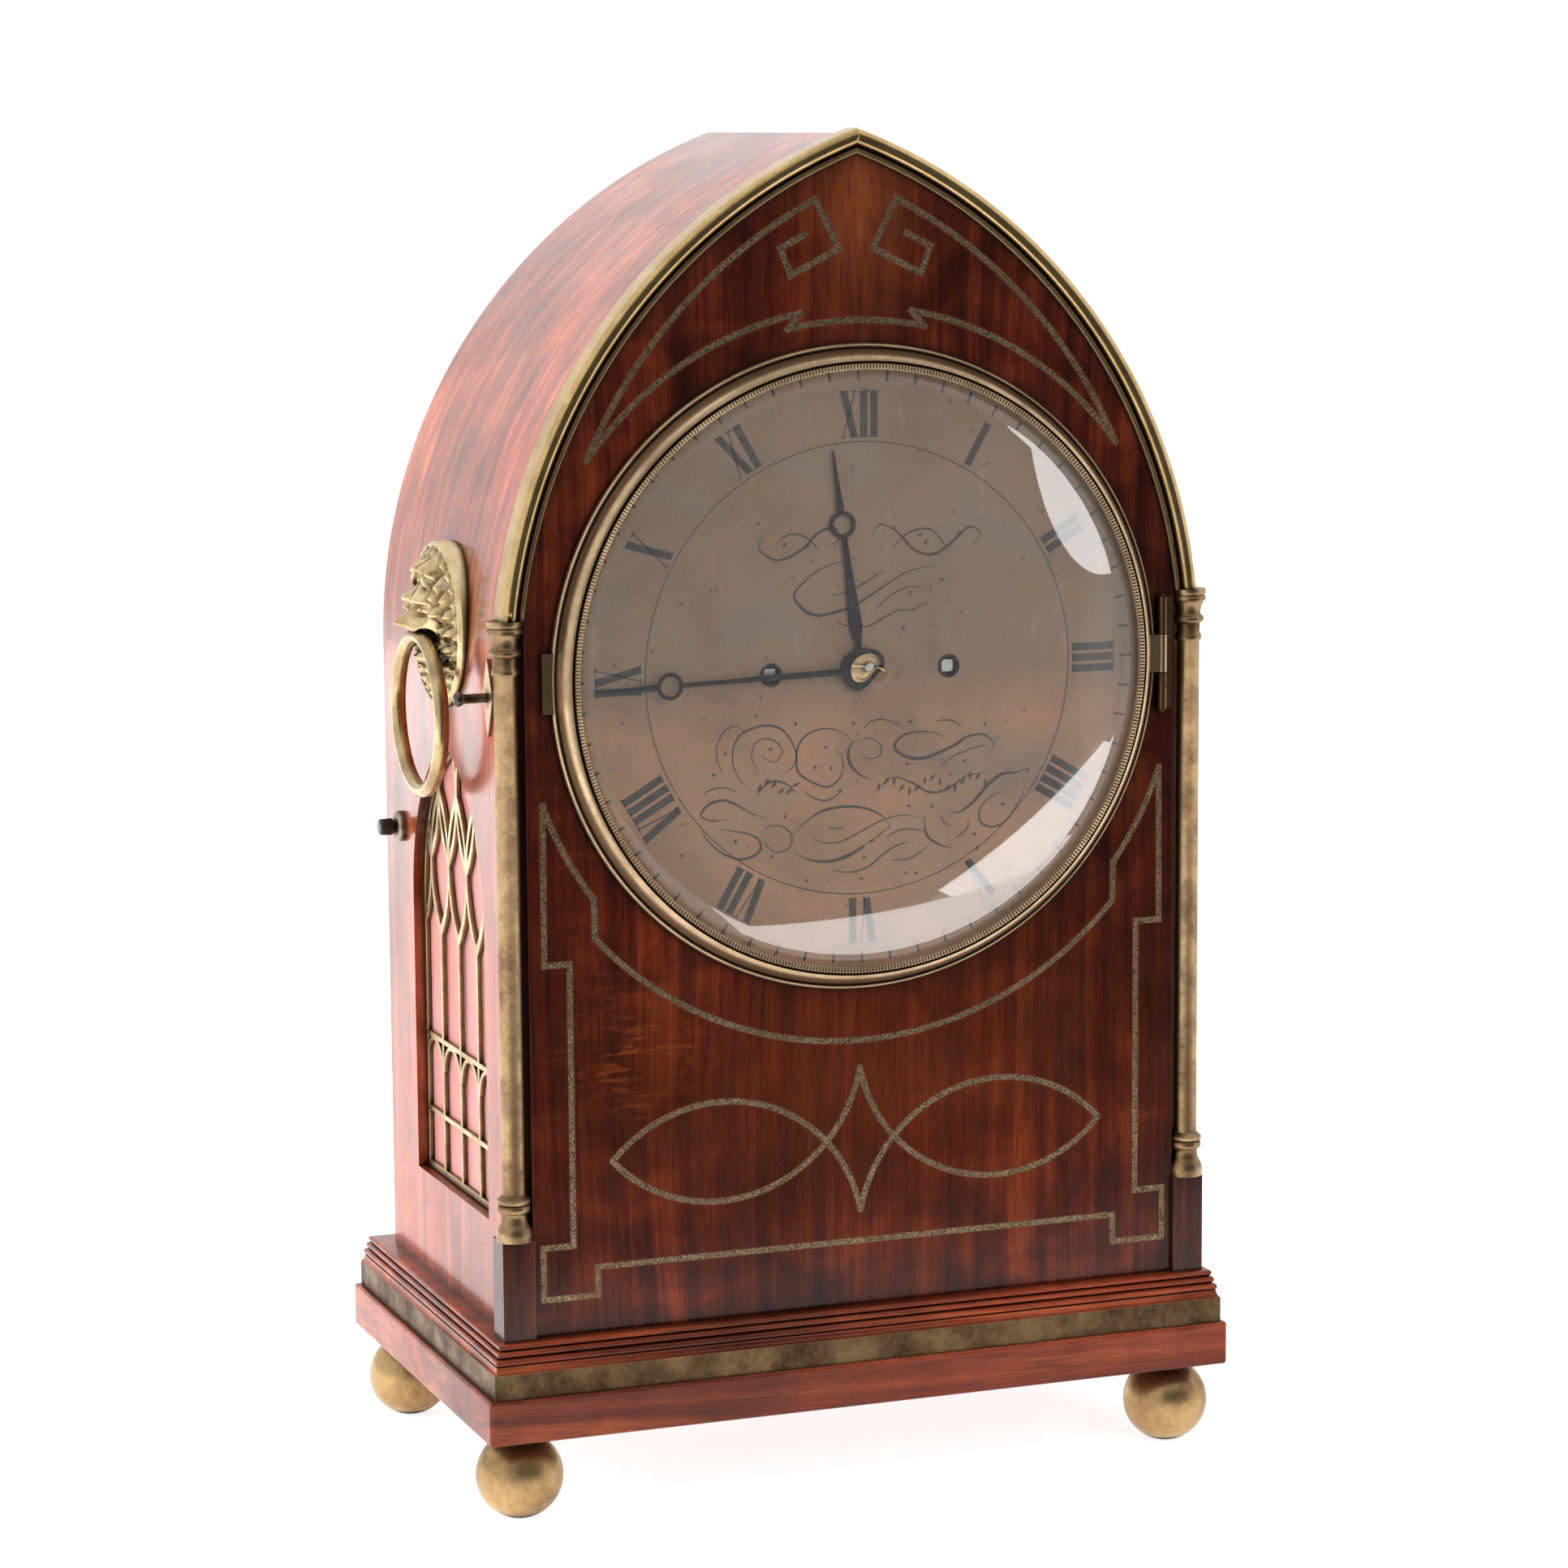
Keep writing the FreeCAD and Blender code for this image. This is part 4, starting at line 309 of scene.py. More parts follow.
def brass(name, clean, tarnished, rough=(0.20, 0.42), spots=60.0, dirt=1.0, rub=0.6):
    """Solid brass with its tarnish, dirt in the corners and bright worn edges."""
    material, tree, shader, place = finish_named(name)
    patina = use_group(tree, old_patina, {"Place": place, "Spots": spots})
    wear = use_group(tree, worn_edges, {"Radius": 0.0006, "Reach": 0.003})
    tone = blended(tree, patina.outputs["Tarnish"], clean, tarnished)
    bright = tuple(min(1.0, part * 1.25) for part in clean)
    tone = blended(tree, sums(tree, "MULTIPLY", wear.outputs["Rub"], rub), tone, bright)
    soil = sums(tree, "MULTIPLY", wear.outputs["Dirt"], 1.6 * dirt, clamp=True)
    tone = blended(tree, soil, tone, (0.045, 0.026, 0.012))
    tree.links.new(tone, shader.inputs["Base Color"])
    dull = sums(tree, "MULTIPLY_ADD", patina.outputs["Tarnish"], rough[1] - rough[0], rough[0])
    tree.links.new(sums(tree, "ADD", dull, sums(tree, "MULTIPLY", soil, 0.3)), shader.inputs["Roughness"])
    shader.inputs["Metallic"].default_value = 1.0
    bumped(tree, shader, patina.outputs["Marks"], 0.08, 0.0002)
    return material


aged_brass = brass("aged_brass", (0.58, 0.42, 0.23), (0.28, 0.18, 0.09))
hinge_brass = brass("hinge_brass", (0.22, 0.13, 0.065), (0.10, 0.055, 0.028), (0.30, 0.50))
band_brass = brass("band_brass", (0.20, 0.125, 0.062), (0.085, 0.048, 0.026), (0.36, 0.60))
foot_brass = brass("foot_brass", (0.54, 0.36, 0.165), (0.27, 0.155, 0.070), (0.30, 0.45), 35.0)
carried("base_brass_band", band_brass)
for end in ("front", "back"):
    for side in ("left", "right"):
        carried(f"ball_foot_{end}_{side}", foot_brass, 50.0)

# ---------------------------------------------------------------------------
# Case: side boards, a roof of two bent halves and the front, all veneered in
# figured mahogany. The front's veneer stands upright; the roof's runs round it.
# ---------------------------------------------------------------------------
SPRING = 0.286
ARCH_RADIUS = 0.18903
ARCH_OFFSET = 0.06363
DIAL_Z = 0.285


def round_the_arch(tree, place):
    """Grain that follows the bend of the roof, from the springing to the ridge."""
    parts = fit(tree, "SeparateXYZ", {0: place}).outputs
    out = sums(tree, "ADD", sums(tree, "ABSOLUTE", parts["X"]), ARCH_OFFSET)
    up = sums(tree, "SUBTRACT", parts["Z"], SPRING)
    bend = sums(tree, "MULTIPLY", sums(tree, "ARCTAN2", up, out), ARCH_RADIUS)
    return fit(tree, "CombineXYZ", {"X": parts["Y"], "Y": out, "Z": bend}).outputs[0]


def front_patches_and_painted_light(tree, place, tone):
    """The front's own patches, an orange stripe at the top and flames low on the left, with a painted pool of light
    low in the middle and painted shade near the edges and towards the top.
    """
    parts = fit(tree, "SeparateXYZ", {0: place}).outputs
    across, up = parts["X"], parts["Z"]

    def hump(value, centre, width):
        away = sums(tree, "DIVIDE", sums(tree, "ABSOLUTE", sums(tree, "SUBTRACT", value, centre)), width)
        return sums(tree, "SUBTRACT", 1.0, away, clamp=True)

    ragged = noise(tree, stretched(tree, place, (60.0, 60.0, 18.0)), 1.0, 3.0)
    stripe = sums(tree, "MULTIPLY", hump(across, 0.001, 0.022), hump(up, 0.440, 0.060))
    stripe = sums(tree, "MULTIPLY", stripe, sums(tree, "MULTIPLY", ragged, 2.6), clamp=True)
    tone = blended(tree, stripe, tone, (0.270, 0.062, 0.018))
    streak = noise(tree, stretched(tree, place, (70.0, 70.0, 330.0)), 1.0, 3.0, 0.6, 0.6)
    flame = sums(tree, "MULTIPLY", hump(across, -0.083, 0.034), hump(up, 0.160, 0.032))
    flame = sums(tree, "MULTIPLY", flame, ramp(tree, streak, (0.50, 0.0), (0.74, 1.6)), clamp=True)
    tone = blended(tree, flame, tone, (0.34, 0.066, 0.012))
    # Painted light: a lighter, warmer pool low in the middle of the front.
    painted_light_pool = sums(tree, "MULTIPLY", hump(up, 0.145, 0.080), hump(across, 0.0, 0.150))
    tone = blended(tree, sums(tree, "MULTIPLY", painted_light_pool, 0.50), tone, (0.230, 0.046, 0.011))
    # Painted shade: the front is darkened towards its left and right edges and towards the top, outside the orange
    # stripe.
    edge = sums(tree, "POWER", sums(tree, "MULTIPLY", sums(tree, "ABSOLUTE", across), 8.4), 5.0, clamp=True)
    above = sums(tree, "MULTIPLY", sums(tree, "SUBTRACT", up, 0.30), 6.0, clamp=True)
    shade = sums(tree, "MULTIPLY", above, sums(tree, "SUBTRACT", 1.0, stripe))
    painted_edge_shade = sums(tree, "MULTIPLY", sums(tree, "MAXIMUM", edge, shade), 0.45)
    return blended(tree, painted_edge_shade, tone, (0.032, 0.005, 0.002))


front_wood = mahogany(
    "front_mahogany", turned_grain("X", "Y", "Z"),
    (0.036, 0.004, 0.002), (0.118, 0.014, 0.004), (0.250, 0.040, 0.009), 0.7, front_patches_and_painted_light, (0.25, 1.5),
)
side_wood = mahogany(
    "side_mahogany", turned_grain("Y", "X", "Z"),
    (0.190, 0.026, 0.008), (0.440, 0.066, 0.018), (0.720, 0.150, 0.036), 0.35, None, (0.5, 1.6),
)
roof_wood = mahogany(
    "roof_mahogany", round_the_arch,
    (0.150, 0.020, 0.008), (0.360, 0.056, 0.017), (0.640, 0.130, 0.034), 0.35, None, (0.75, 1.7),
)
corner_wood = mahogany(
    "corner_mahogany", turned_grain("X", "Y", "Z"),
    (0.030, 0.006, 0.004), (0.080, 0.016, 0.009), (0.140, 0.034, 0.016), 0.2, None, (0.3, 1.5),
)
carried("front_panel", front_wood)
for side in ("left", "right"):
    carried(f"side_panel_{side}", side_wood)
    carried(f"roof_{side}", roof_wood)
    carried(f"corner_plinth_{side}", corner_wood)

# ---------------------------------------------------------------------------
# Brass string: strips two millimetres wide, cut and bent into a groove in the
# veneer and filed flush, now dull with hatched file marks and dark joints.
# ---------------------------------------------------------------------------


def string_brass():
    material, tree, shader, place = finish_named("string_brass")
    hatch = noise(tree, stretched(tree, place, (1500.0, 300.0, 1500.0)), 1.0, 2.0, 0.7)
    tone = ramp(tree, hatch, (0.36, (0.060, 0.034, 0.018)), (0.62, (0.50, 0.36, 0.21)))
    patina = use_group(tree, old_patina, {"Place": place, "Spots": 70.0})
    tone = blended(tree, sums(tree, "MULTIPLY", patina.outputs["Tarnish"], 0.6), tone, (0.17, 0.10, 0.055))
    tree.links.new(tone, shader.inputs["Base Color"])
    shader.inputs["Metallic"].default_value = 0.8
    tree.links.new(ramp(tree, hatch, (0.3, 0.62), (0.7, 0.38)), shader.inputs["Roughness"])
    bumped(tree, shader, hatch, 0.35, 0.0003)
    return material


string_finish = string_brass()
carried("inlay_upper", string_finish)
carried("inlay_lower", string_finish)

# ---------------------------------------------------------------------------
# Front brasswork: drawn moulding bent round the arch and mitred at its point,
# and a slender turned column, base and capital, standing at each corner.
# ---------------------------------------------------------------------------


def moulding_brass():
    """Bright on the large bead, brown in the quirk beside it and on the small inner bead."""
    material, tree, shader, place = finish_named("moulding_brass")
    parts = fit(tree, "SeparateXYZ", {0: place}).outputs
    out = sums(tree, "ADD", sums(tree, "ABSOLUTE", parts["X"]), ARCH_OFFSET)
    up = sums(tree, "SUBTRACT", parts["Z"], SPRING)
    square = sums(tree, "ADD", sums(tree, "POWER", out, 2.0), sums(tree, "POWER", up, 2.0))
    radius = sums(tree, "SQRT", square)
    inward = sums(tree, "MULTIPLY", sums(tree, "SUBTRACT", 0.1857, radius), 1400.0, clamp=True)
    patina = use_group(tree, old_patina, {"Place": place, "Spots": 60.0})
    tone = blended(tree, patina.outputs["Tarnish"], (0.74, 0.52, 0.24), (0.50, 0.33, 0.14))
    tone = blended(tree, sums(tree, "MULTIPLY", inward, 0.8), tone, (0.24, 0.16, 0.09))
    wear = use_group(tree, worn_edges, {"Radius": 0.0005, "Reach": 0.003})
    soil = sums(tree, "MULTIPLY", wear.outputs["Dirt"], 1.8, clamp=True)
    tone = blended(tree, soil, tone, (0.035, 0.018, 0.010))
    tree.links.new(tone, shader.inputs["Base Color"])
    dull = sums(tree, "MULTIPLY_ADD", inward, 0.22, 0.20)
    tree.links.new(sums(tree, "ADD", dull, sums(tree, "MULTIPLY", soil, 0.25)), shader.inputs["Roughness"])
    shader.inputs["Metallic"].default_value = 1.0
    bumped(tree, shader, patina.outputs["Marks"], 0.06, 0.0002)
    return material


arch_brass = moulding_brass()
column_brass = brass("column_brass", (0.44, 0.30, 0.155), (0.20, 0.115, 0.060), (0.28, 0.46), 80.0, 1.4)
for side in ("left", "right"):
    carried(f"arch_moulding_{side}", arch_brass)
    carried(f"column_{side}", column_brass, 28.0)

# ---------------------------------------------------------------------------
# Dial: a flat brass plate, silvered, with numerals, a minute ring and scrolls
# engraved and filled with black wax. The silvering is thin and stained, with a
# painted warm reflection over its lower half; thin strokes are nearly rubbed away.
# ---------------------------------------------------------------------------
DIAL_FACE = -0.0726


def silvering():
    """Silvering worn to a warm grey: clouded and speckled with brown, with a painted warm reflection over the lower
    half.
    """
    material, tree, shader, place = finish_named("silvered_dial")
    parts = fit(tree, "SeparateXYZ", {0: place}).outputs
    # Painted reflection: below the centre the silvering turns to a warmer, rosier tone.
    low = sums(tree, "MULTIPLY", sums(tree, "SUBTRACT", DIAL_Z - 0.002, parts["Z"]), 60.0, clamp=True)
    tone = blended(tree, low, (0.226, 0.150, 0.100), (0.330, 0.182, 0.108))
    cloud = noise(tree, place, 26.0, 5.0, 0.6, 0.4)
    tone = blended(tree, ramp(tree, cloud, (0.46, 0.0), (0.68, 0.7)), tone, (0.190, 0.115, 0.080))
    grey = noise(tree, stretched(tree, place, (16.0, 16.0, 22.0)), 1.0, 3.0)
    tone = blended(tree, ramp(tree, grey, (0.50, 0.0), (0.70, 0.6)), tone, (0.185, 0.150, 0.125))
    streak = noise(tree, stretched(tree, place, (120.0, 120.0, 28.0)), 1.0, 3.0, 0.6, 1.0)
    tone = blended(tree, ramp(tree, streak, (0.60, 0.0), (0.72, 0.30)), tone, (0.300, 0.225, 0.175))
    grain = noise(tree, place, 1400.0, 2.0, 0.8)
    tone = blended(tree, 0.30, tone, ramp(tree, grain, (0.3, 0.60), (0.62, 1.1)), "MULTIPLY")
    spots = noise(tree, place, 260.0, 3.0, 0.75)
    tone = blended(tree, ramp(tree, spots, (0.655, 0.0), (0.70, 0.75)), tone, (0.070, 0.040, 0.028))
    tree.links.new(tone, shader.inputs["Base Color"])
    tree.links.new(ramp(tree, cloud, (0.3, 0.42), (0.7, 0.58)), shader.inputs["Roughness"])
    shader.inputs["Metallic"].default_value = 0.15
    shader.inputs["Specular IOR Level"].default_value = 0.3
    bumped(tree, shader, grain, 0.10, 0.0001)
    return material


def wax(name, worn):
    """Black wax in engraved lines, gone in places: worn is how much of it is lost."""
    material, tree, shader, place = finish_named(name)
    speck = noise(tree, place, 420.0, 4.0, 0.7)
    tone = ramp(tree, speck, (0.3, (0.018, 0.015, 0.014)), (0.7, (0.060, 0.048, 0.040)))
    tree.links.new(tone, shader.inputs["Base Color"])
    shader.inputs["Roughness"].default_value = 0.55
    patch = noise(tree, place, 95.0, 5.0, 0.7)
    mixed = sums(tree, "ADD", sums(tree, "MULTIPLY", patch, 0.6), sums(tree, "MULTIPLY", speck, 0.4))
    tree.links.new(ramp(tree, mixed, (worn - 0.05, 0.0), (worn + 0.05, 1.0)), shader.inputs["Alpha"])
    return material


def flat_piece(name, strips, material, body="case"):
    """Thin wax shapes let into the dial: strips of (left, right) rungs, in millimetres from its centre."""
    mesh = bmesh.new()
    proud, sunk = DIAL_FACE - 0.00004, DIAL_FACE + 0.0001
    for rungs in strips:
        looped = rungs[0] == rungs[-1]
        rows = []
        for one, two in rungs[:-1] if looped else rungs:
            corners = [(one, proud), (two, proud), (two, sunk), (one, sunk)]
            rows.append([mesh.verts.new((u / 1000, depth, DIAL_Z + v / 1000)) for (u, v), depth in corners])
        for here, there in zip(rows, rows[1:] + (rows[:1] if looped else [])):
            for k in range(4):
                mesh.faces.new((here[k], here[(k + 1) % 4], there[(k + 1) % 4], there[k]))
        if not looped:
            mesh.faces.new(rows[0][::-1])
            mesh.faces.new(rows[-1])
    bmesh.ops.recalc_face_normals(mesh, faces=mesh.faces)
    data = bpy.data.meshes.new(name)
    mesh.to_mesh(data)
    mesh.free()
    data.materials.append(material)
    piece = bpy.data.objects.new(name, data)
    bpy.context.scene.collection.objects.link(piece)
    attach(piece, body)
    return piece


def numeral_strokes(letters, hour):
    """Thick and thin strokes of one Roman numeral, its feet towards the centre, as two lists of strips."""
    advance = {"I": 3.7, "V": 6.6, "X": 6.9}
    foot, head = 78.2, 93.4
    width = sum(advance[letter] for letter in letters)
    thick, thin = [], []
    left = -width / 2

    def bar(low, high, wide, into):
        half = wide / 2
        into.append([((low - half, foot), (low + half, foot)), ((high - half, head), (high + half, head))])

    def serif(middle, radius, wide):
        into = [((middle - wide, radius - 0.17), (middle - wide, radius + 0.17))]
        thin.append(into + [((middle + wide, radius - 0.17), (middle + wide, radius + 0.17))])

    for letter in letters:
        span = advance[letter]
        middle = left + span / 2
        if letter == "I":
            bar(middle, middle, 2.6, thick)
            serif(middle, foot, 1.6)
            serif(middle, head, 1.6)
        elif letter == "V":
            bar(middle + 0.1, middle - 2.0, 2.6, thick)
            bar(middle + 0.6, middle + 2.2, 0.45, thin)
            serif(middle - 2.0, head, 1.5)
            serif(middle + 2.2, head, 1.1)
        else:
            bar(middle + 1.9, middle - 1.9, 2.6, thick)
            bar(middle - 2.1, middle + 2.1, 0.45, thin)
            serif(middle + 1.9, foot, 1.4)
            serif(middle - 2.1, foot, 1.1)
            serif(middle - 1.9, head, 1.4)
            serif(middle + 2.1, head, 1.1)
        left += span
    turn = math.radians(30 * hour)

    def placed(point):
        u, v = point
        return (u * math.cos(turn) + v * math.sin(turn), v * math.cos(turn) - u * math.sin(turn))

    return tuple([[(placed(a), placed(b)) for a, b in strip] for strip in strips] for strips in (thick, thin))


def circle_line(radius, wide, steps=240):
    """A fine engraved circle as one closed strip."""
    inner, outer = radius - wide / 2, radius + wide / 2
    rungs = []
    for step in range(steps):
        a = 2 * math.pi * step / steps
        rungs.append(((inner * math.sin(a), inner * math.cos(a)), (outer * math.sin(a), outer * math.cos(a))))
    return rungs + rungs[:1]


def pen_line(points, thin=0.34, thick=0.80, steps=14):
    """One engraved flourish through the points: a smooth line that swells towards its middle and narrows at its
    ends.
    """
    path = []
    padded = [points[0]] + list(points) + [points[-1]]
    for before, here, after, beyond in zip(padded, padded[1:], padded[2:], padded[3:]):
        for step in range(steps):
            t = step / steps
            path.append(tuple(
                0.5 * (2 * h + (a - b) * t + (2 * b - 5 * h + 4 * a - z) * t * t + (3 * h - b - 3 * a + z) * t ** 3)
                for b, h, a, z in zip(before, here, after, beyond)
            ))
    path.append(points[-1])
    rungs = []
    for number, here in enumerate(path):
        after = path[min(number + 1, len(path) - 1)]
        before = path[max(number - 1, 0)]
        du, dv = after[0] - before[0], after[1] - before[1]
        size = math.hypot(du, dv) or 1.0
        along = number / (len(path) - 1)
        swell = math.sin(math.pi * along) ** 2
        half = (thin + (thick - thin) * swell) / 2 * (0.35 + 0.65 * min(1.0, 8 * along, 8 * (1 - along)))
        side = (-dv / size * half, du / size * half)
        rungs.append(((here[0] + side[0], here[1] + side[1]), (here[0] - side[0], here[1] - side[1])))
    return rungs


def leaf(u, v, long, wide, angle):
    """A small engraved leaf or dot: a lozenge about (u, v), its length lying at an angle in degrees."""
    a = math.radians(angle)
    way = (math.cos(a) * long / 2, math.sin(a) * long / 2)
    across = (-math.sin(a) * wide / 2, math.cos(a) * wide / 2)
    return [
        ((u - way[0], v - way[1]), (u + across[0], v + across[1])),
        ((u - across[0], v - across[1]), (u + way[0], v + way[1])),
    ]


carried("dial_plate", silvering())
bold_wax = wax("numeral_wax", 0.33)
fine_wax = wax("fine_wax", 0.40)
thick_strokes, thin_strokes = [], []
for hour, letters in enumerate("I II III IIII V VI VII VIII IX X XI XII".split(), start=1):
    thick, thin = numeral_strokes(letters, hour)
    thick_strokes += thick
    thin_strokes += thin
flat_piece("dial_numerals", thick_strokes, bold_wax)
flat_piece("dial_fine_strokes", thin_strokes + [circle_line(76.6, 0.36)], fine_wax)

# Flourishes over the centre, then under it: (thickest width in millimetres, points it runs through).
upper_lines = (
    (0.85, ((-0.1, 37.4), (-12.8, 35.0), (-22.7, 27.9), (-22.7, 23.5), (-15.8, 18.9), (-3.1, 21.3), (6.8,
            26.6),
            (17.4, 32.3), (28.0, 33.8))),
    (0.50, ((-10.6, 25.2), (-5.9, 26.0), (-0.1, 28.2), (4.5, 30.7), (9.2, 33.2))),
    (0.36, ((5.7, 20.1), (8.6, 22.7), (13.3, 25.7), (18.5, 27.1), (22.7, 26.4))),
    (0.45, ((-9.5, 17.5), (-6.0, 15.2), (-1.4, 14.2), (3.3, 14.5), (8.6, 17.0), (13.8, 19.2), (19.7, 19.4),
            (25.0, 22.5))),
    (0.75, ((-34.0, 47.5), (-36.0, 42.0), (-29.5, 38.0), (-21.0, 41.0), (-15.0, 46.5), (-9.0, 48.0), (-7.5,
            44.0), (-11.5, 42.0))),
    (0.80, ((4.0, 43.5), (7.0, 48.5), (13.3, 46.0), (19.8, 39.5), (27.0, 37.8), (34.0, 42.0), (40.0, 46.5),
            (44.0, 44.0), (41.0, 40.5))),
    (0.50, ((-30.0, 43.5), (-25.0, 46.5), (-19.0, 45.0), (-14.0, 40.0))),
    (0.50, ((12.0, 40.5), (18.0, 45.5), (26.0, 46.0), (32.5, 38.5))),
)
lower_lines = (
    (0.40, ((-41.2, -19.5), (-44.5, -17.0), (-48.6, -18.3), (-51.6, -22.9), (-51.5, -28.4), (-49.2, -33.2))),
    (0.60, ((-40.1, -38.9), (-44.6, -33.5), (-46.2, -27.1), (-44.1, -20.9), (-39.1, -18.1), (-33.2, -17.4),
            (-27.4, -19.9),
            (-23.3, -27.6), (-25.0, -32.3), (-28.4, -34.1))),
    (0.36, ((-36.7, -33.2), (-39.2, -28.3), (-38.3, -23.6), (-34.9, -21.8), (-30.8, -22.9), (-28.3, -26.4),
            (-30.8, -29.7),
            (-34.2, -28.8), (-35.4, -26.9))),
    (0.60, ((-3.0, -24.4), (-6.4, -21.5), (-12.3, -19.5), (-18.6, -20.8), (-22.4, -24.5), (-23.3, -30.0),
            (-21.7, -34.9),
            (-13.3, -39.3), (-9.0, -38.0), (-6.5, -34.2), (-6.9, -29.4), (-9.8, -26.4))),
    (0.50, ((-20.8, -40.1), (-17.5, -42.7), (-13.3, -44.0), (-9.9, -43.1), (-7.4, -41.3))),
    (0.90, ((-1.3, -23.7), (-3.5, -25.6), (-4.6, -28.7), (-3.5, -32.8), (-0.1, -36.1), (4.1, -38.0))),
    (0.40, ((1.2, -20.3), (3.8, -18.0), (8.0, -17.5), (13.2, -19.0))),
    (0.36, ((-0.5, -25.0), (2.9, -23.6), (7.2, -26.2), (6.7, -29.8), (2.9, -30.7), (0.3, -29.0))),
    (0.95, ((31.1, -25.1), (26.8, -23.1), (20.0, -22.5), (14.8, -23.8), (12.3, -27.3), (16.5, -30.7),
            (23.4, -31.5),
            (33.7, -28.1), (38.9, -25.2), (44.9, -24.7), (48.8, -27.8), (47.5, -31.3))),
    (0.40, ((27.7, -19.0), (32.9, -19.2), (37.2, -21.5))),
    (0.36, ((29.4, -34.7), (33.7, -31.7), (40.6, -29.3), (45.8, -28.4))),
    (0.95, ((31.9, -50.9), (36.3, -50.8), (41.5, -47.5), (46.7, -42.1), (51.9, -38.8), (57.1, -38.5),
            (61.5, -37.3))),
    (0.55, ((60.6, -43.0), (58.8, -47.7), (53.6, -54.7), (48.4, -56.8), (44.0, -54.9), (43.6, -50.8),
            (46.7, -47.0), (51.9, -44.9))),
    (0.70, ((-47.7, -48.3), (-53.5, -48.4), (-57.6, -46.5), (-55.1, -43.1), (-50.1, -41.7), (-45.1, -43.4),
            (-39.3, -46.9), (-33.5, -48.8))),
    (0.70, ((-57.7, -49.3), (-56.5, -53.3), (-52.8, -57.5), (-48.6, -60.5), (-43.7, -62.1), (-39.5, -61.5),
            (-36.5, -59.3),
            (-36.9, -56.1), (-41.1, -53.5), (-46.1, -52.4), (-51.0, -51.3))),
    (0.45, ((-35.2, -52.3), (-31.9, -51.3), (-27.7, -52.4), (-25.2, -55.3), (-26.0, -59.2), (-30.2, -60.6),
            (-33.6, -58.7), (-35.7, -55.4))),
    (0.75, ((-24.3, -54.6), (-20.1, -50.9), (-14.2, -47.6), (-6.5, -46.5), (1.1, -47.4), (7.1, -50.2),
            (10.5, -54.0))),
    (1.00, ((10.5, -54.0), (6.2, -57.3), (0.2, -60.9), (-5.8, -63.7), (-12.6, -64.9), (-19.3, -63.7),
            (-24.4, -60.5))),
    (0.45, ((-17.6, -56.6), (-13.4, -58.5), (-7.5, -58.4), (-1.5, -56.0), (4.5, -53.2), (9.6, -51.5),
            (15.6, -50.7), (20.7, -51.8))),
    (0.36, ((-12.5, -52.9), (-9.1, -53.9), (-6.6, -53.3))),
    (0.40, ((8.7, -58.3), (13.0, -56.1), (18.2, -55.7), (23.3, -56.8))),
    (0.40, ((10.4, -65.6), (16.4, -66.0), (21.6, -63.9), (24.2, -61.7))),
    (0.50, ((-10.9, -67.8), (-4.1, -69.1), (2.7, -67.5), (7.8, -63.8), (13.0, -61.0), (18.1, -60.1))),
    (0.75, ((23.3, -51.2), (23.3, -56.0), (25.0, -59.3), (29.3, -62.0), (33.6, -63.1))),
    (0.40, ((34.5, -59.9), (38.8, -57.0), (39.3, -53.8))),
    (0.36, ((29.3, -51.5), (30.2, -54.0), (32.8, -55.4))),
    (0.40, ((-56.7, -39.1), (-53.4, -37.7), (-48.4, -37.6), (-44.3, -39.5))),
    (0.60, ((-38.0, -41.0), (-33.0, -36.6), (-27.5, -37.3), (-22.7, -41.5))),
    (0.60, ((4.0, -43.0), (11.4, -37.8), (18.2, -39.6), (25.1, -43.4), (31.9, -42.6), (38.9, -38.6), (46.5,
            -38.0))),
)
leaves = []
for u, v in ((-48.7, -26.0), (-32.6, -25.4), (-23.5, -17.3), (-2.6, -18.3), (18.1, -18.8), (-53.0, -33.0),
        (-27.5, -48.6),
             (-45.3, -56.0), (-32.4, -61.8), (-16.6, -32.5), (-10.7, -33.1), (16.9, -33.2), (38.0, -33.4),
                     (17.5, -47.6),
             (25.9, -48.3), (52.3, -49.3), (61.5, -37.8), (41.6, -58.9), (42.7, -63.7), (1.0, -64.2),
                     (-7.5, -41.0),
             (45.6, -21.1), (-12.7, -25.9), (0.0, -71.5), (20.0, -71.0), (-20.0, -71.0)):
    leaves.append(leaf(u, v, 1.7, 1.2, 10 * u))
for count in range(6):
    leaves.append(leaf(-36.5 + 2.6 * count, -38.4 + 1.9 * math.sin(count * 1.3), 3.6, 1.3, 62 - 8 * count))
for count in range(15):
    leaves.append(leaf(6.5 + 2.8 * count, -40.6 + 2.2 * math.sin(count * 1.15), 3.4, 1.2,
            66 + 14 * (-1) ** count))
for u, v, angle in ((21.8, 44.5, 20), (29.7, 29.1, -30), (15.6, 13.1, 60), (-27.0, 43.0, 45), (-19.0, 42.0,
        30), (-8.0, 52.0, -20), (24.0, 42.0, 50), (36.0, 44.5, 40)):
    leaves.append(leaf(u, v, 2.6, 1.0, angle))
flat_piece("dial_upper_scroll", [pen_line(points, thick=1.25 * wide) for wide, points in upper_lines],
        fine_wax)
flat_piece("dial_lower_scroll", [pen_line(points, thick=1.25 * wide) for wide,
        points in lower_lines] + leaves, fine_wax)


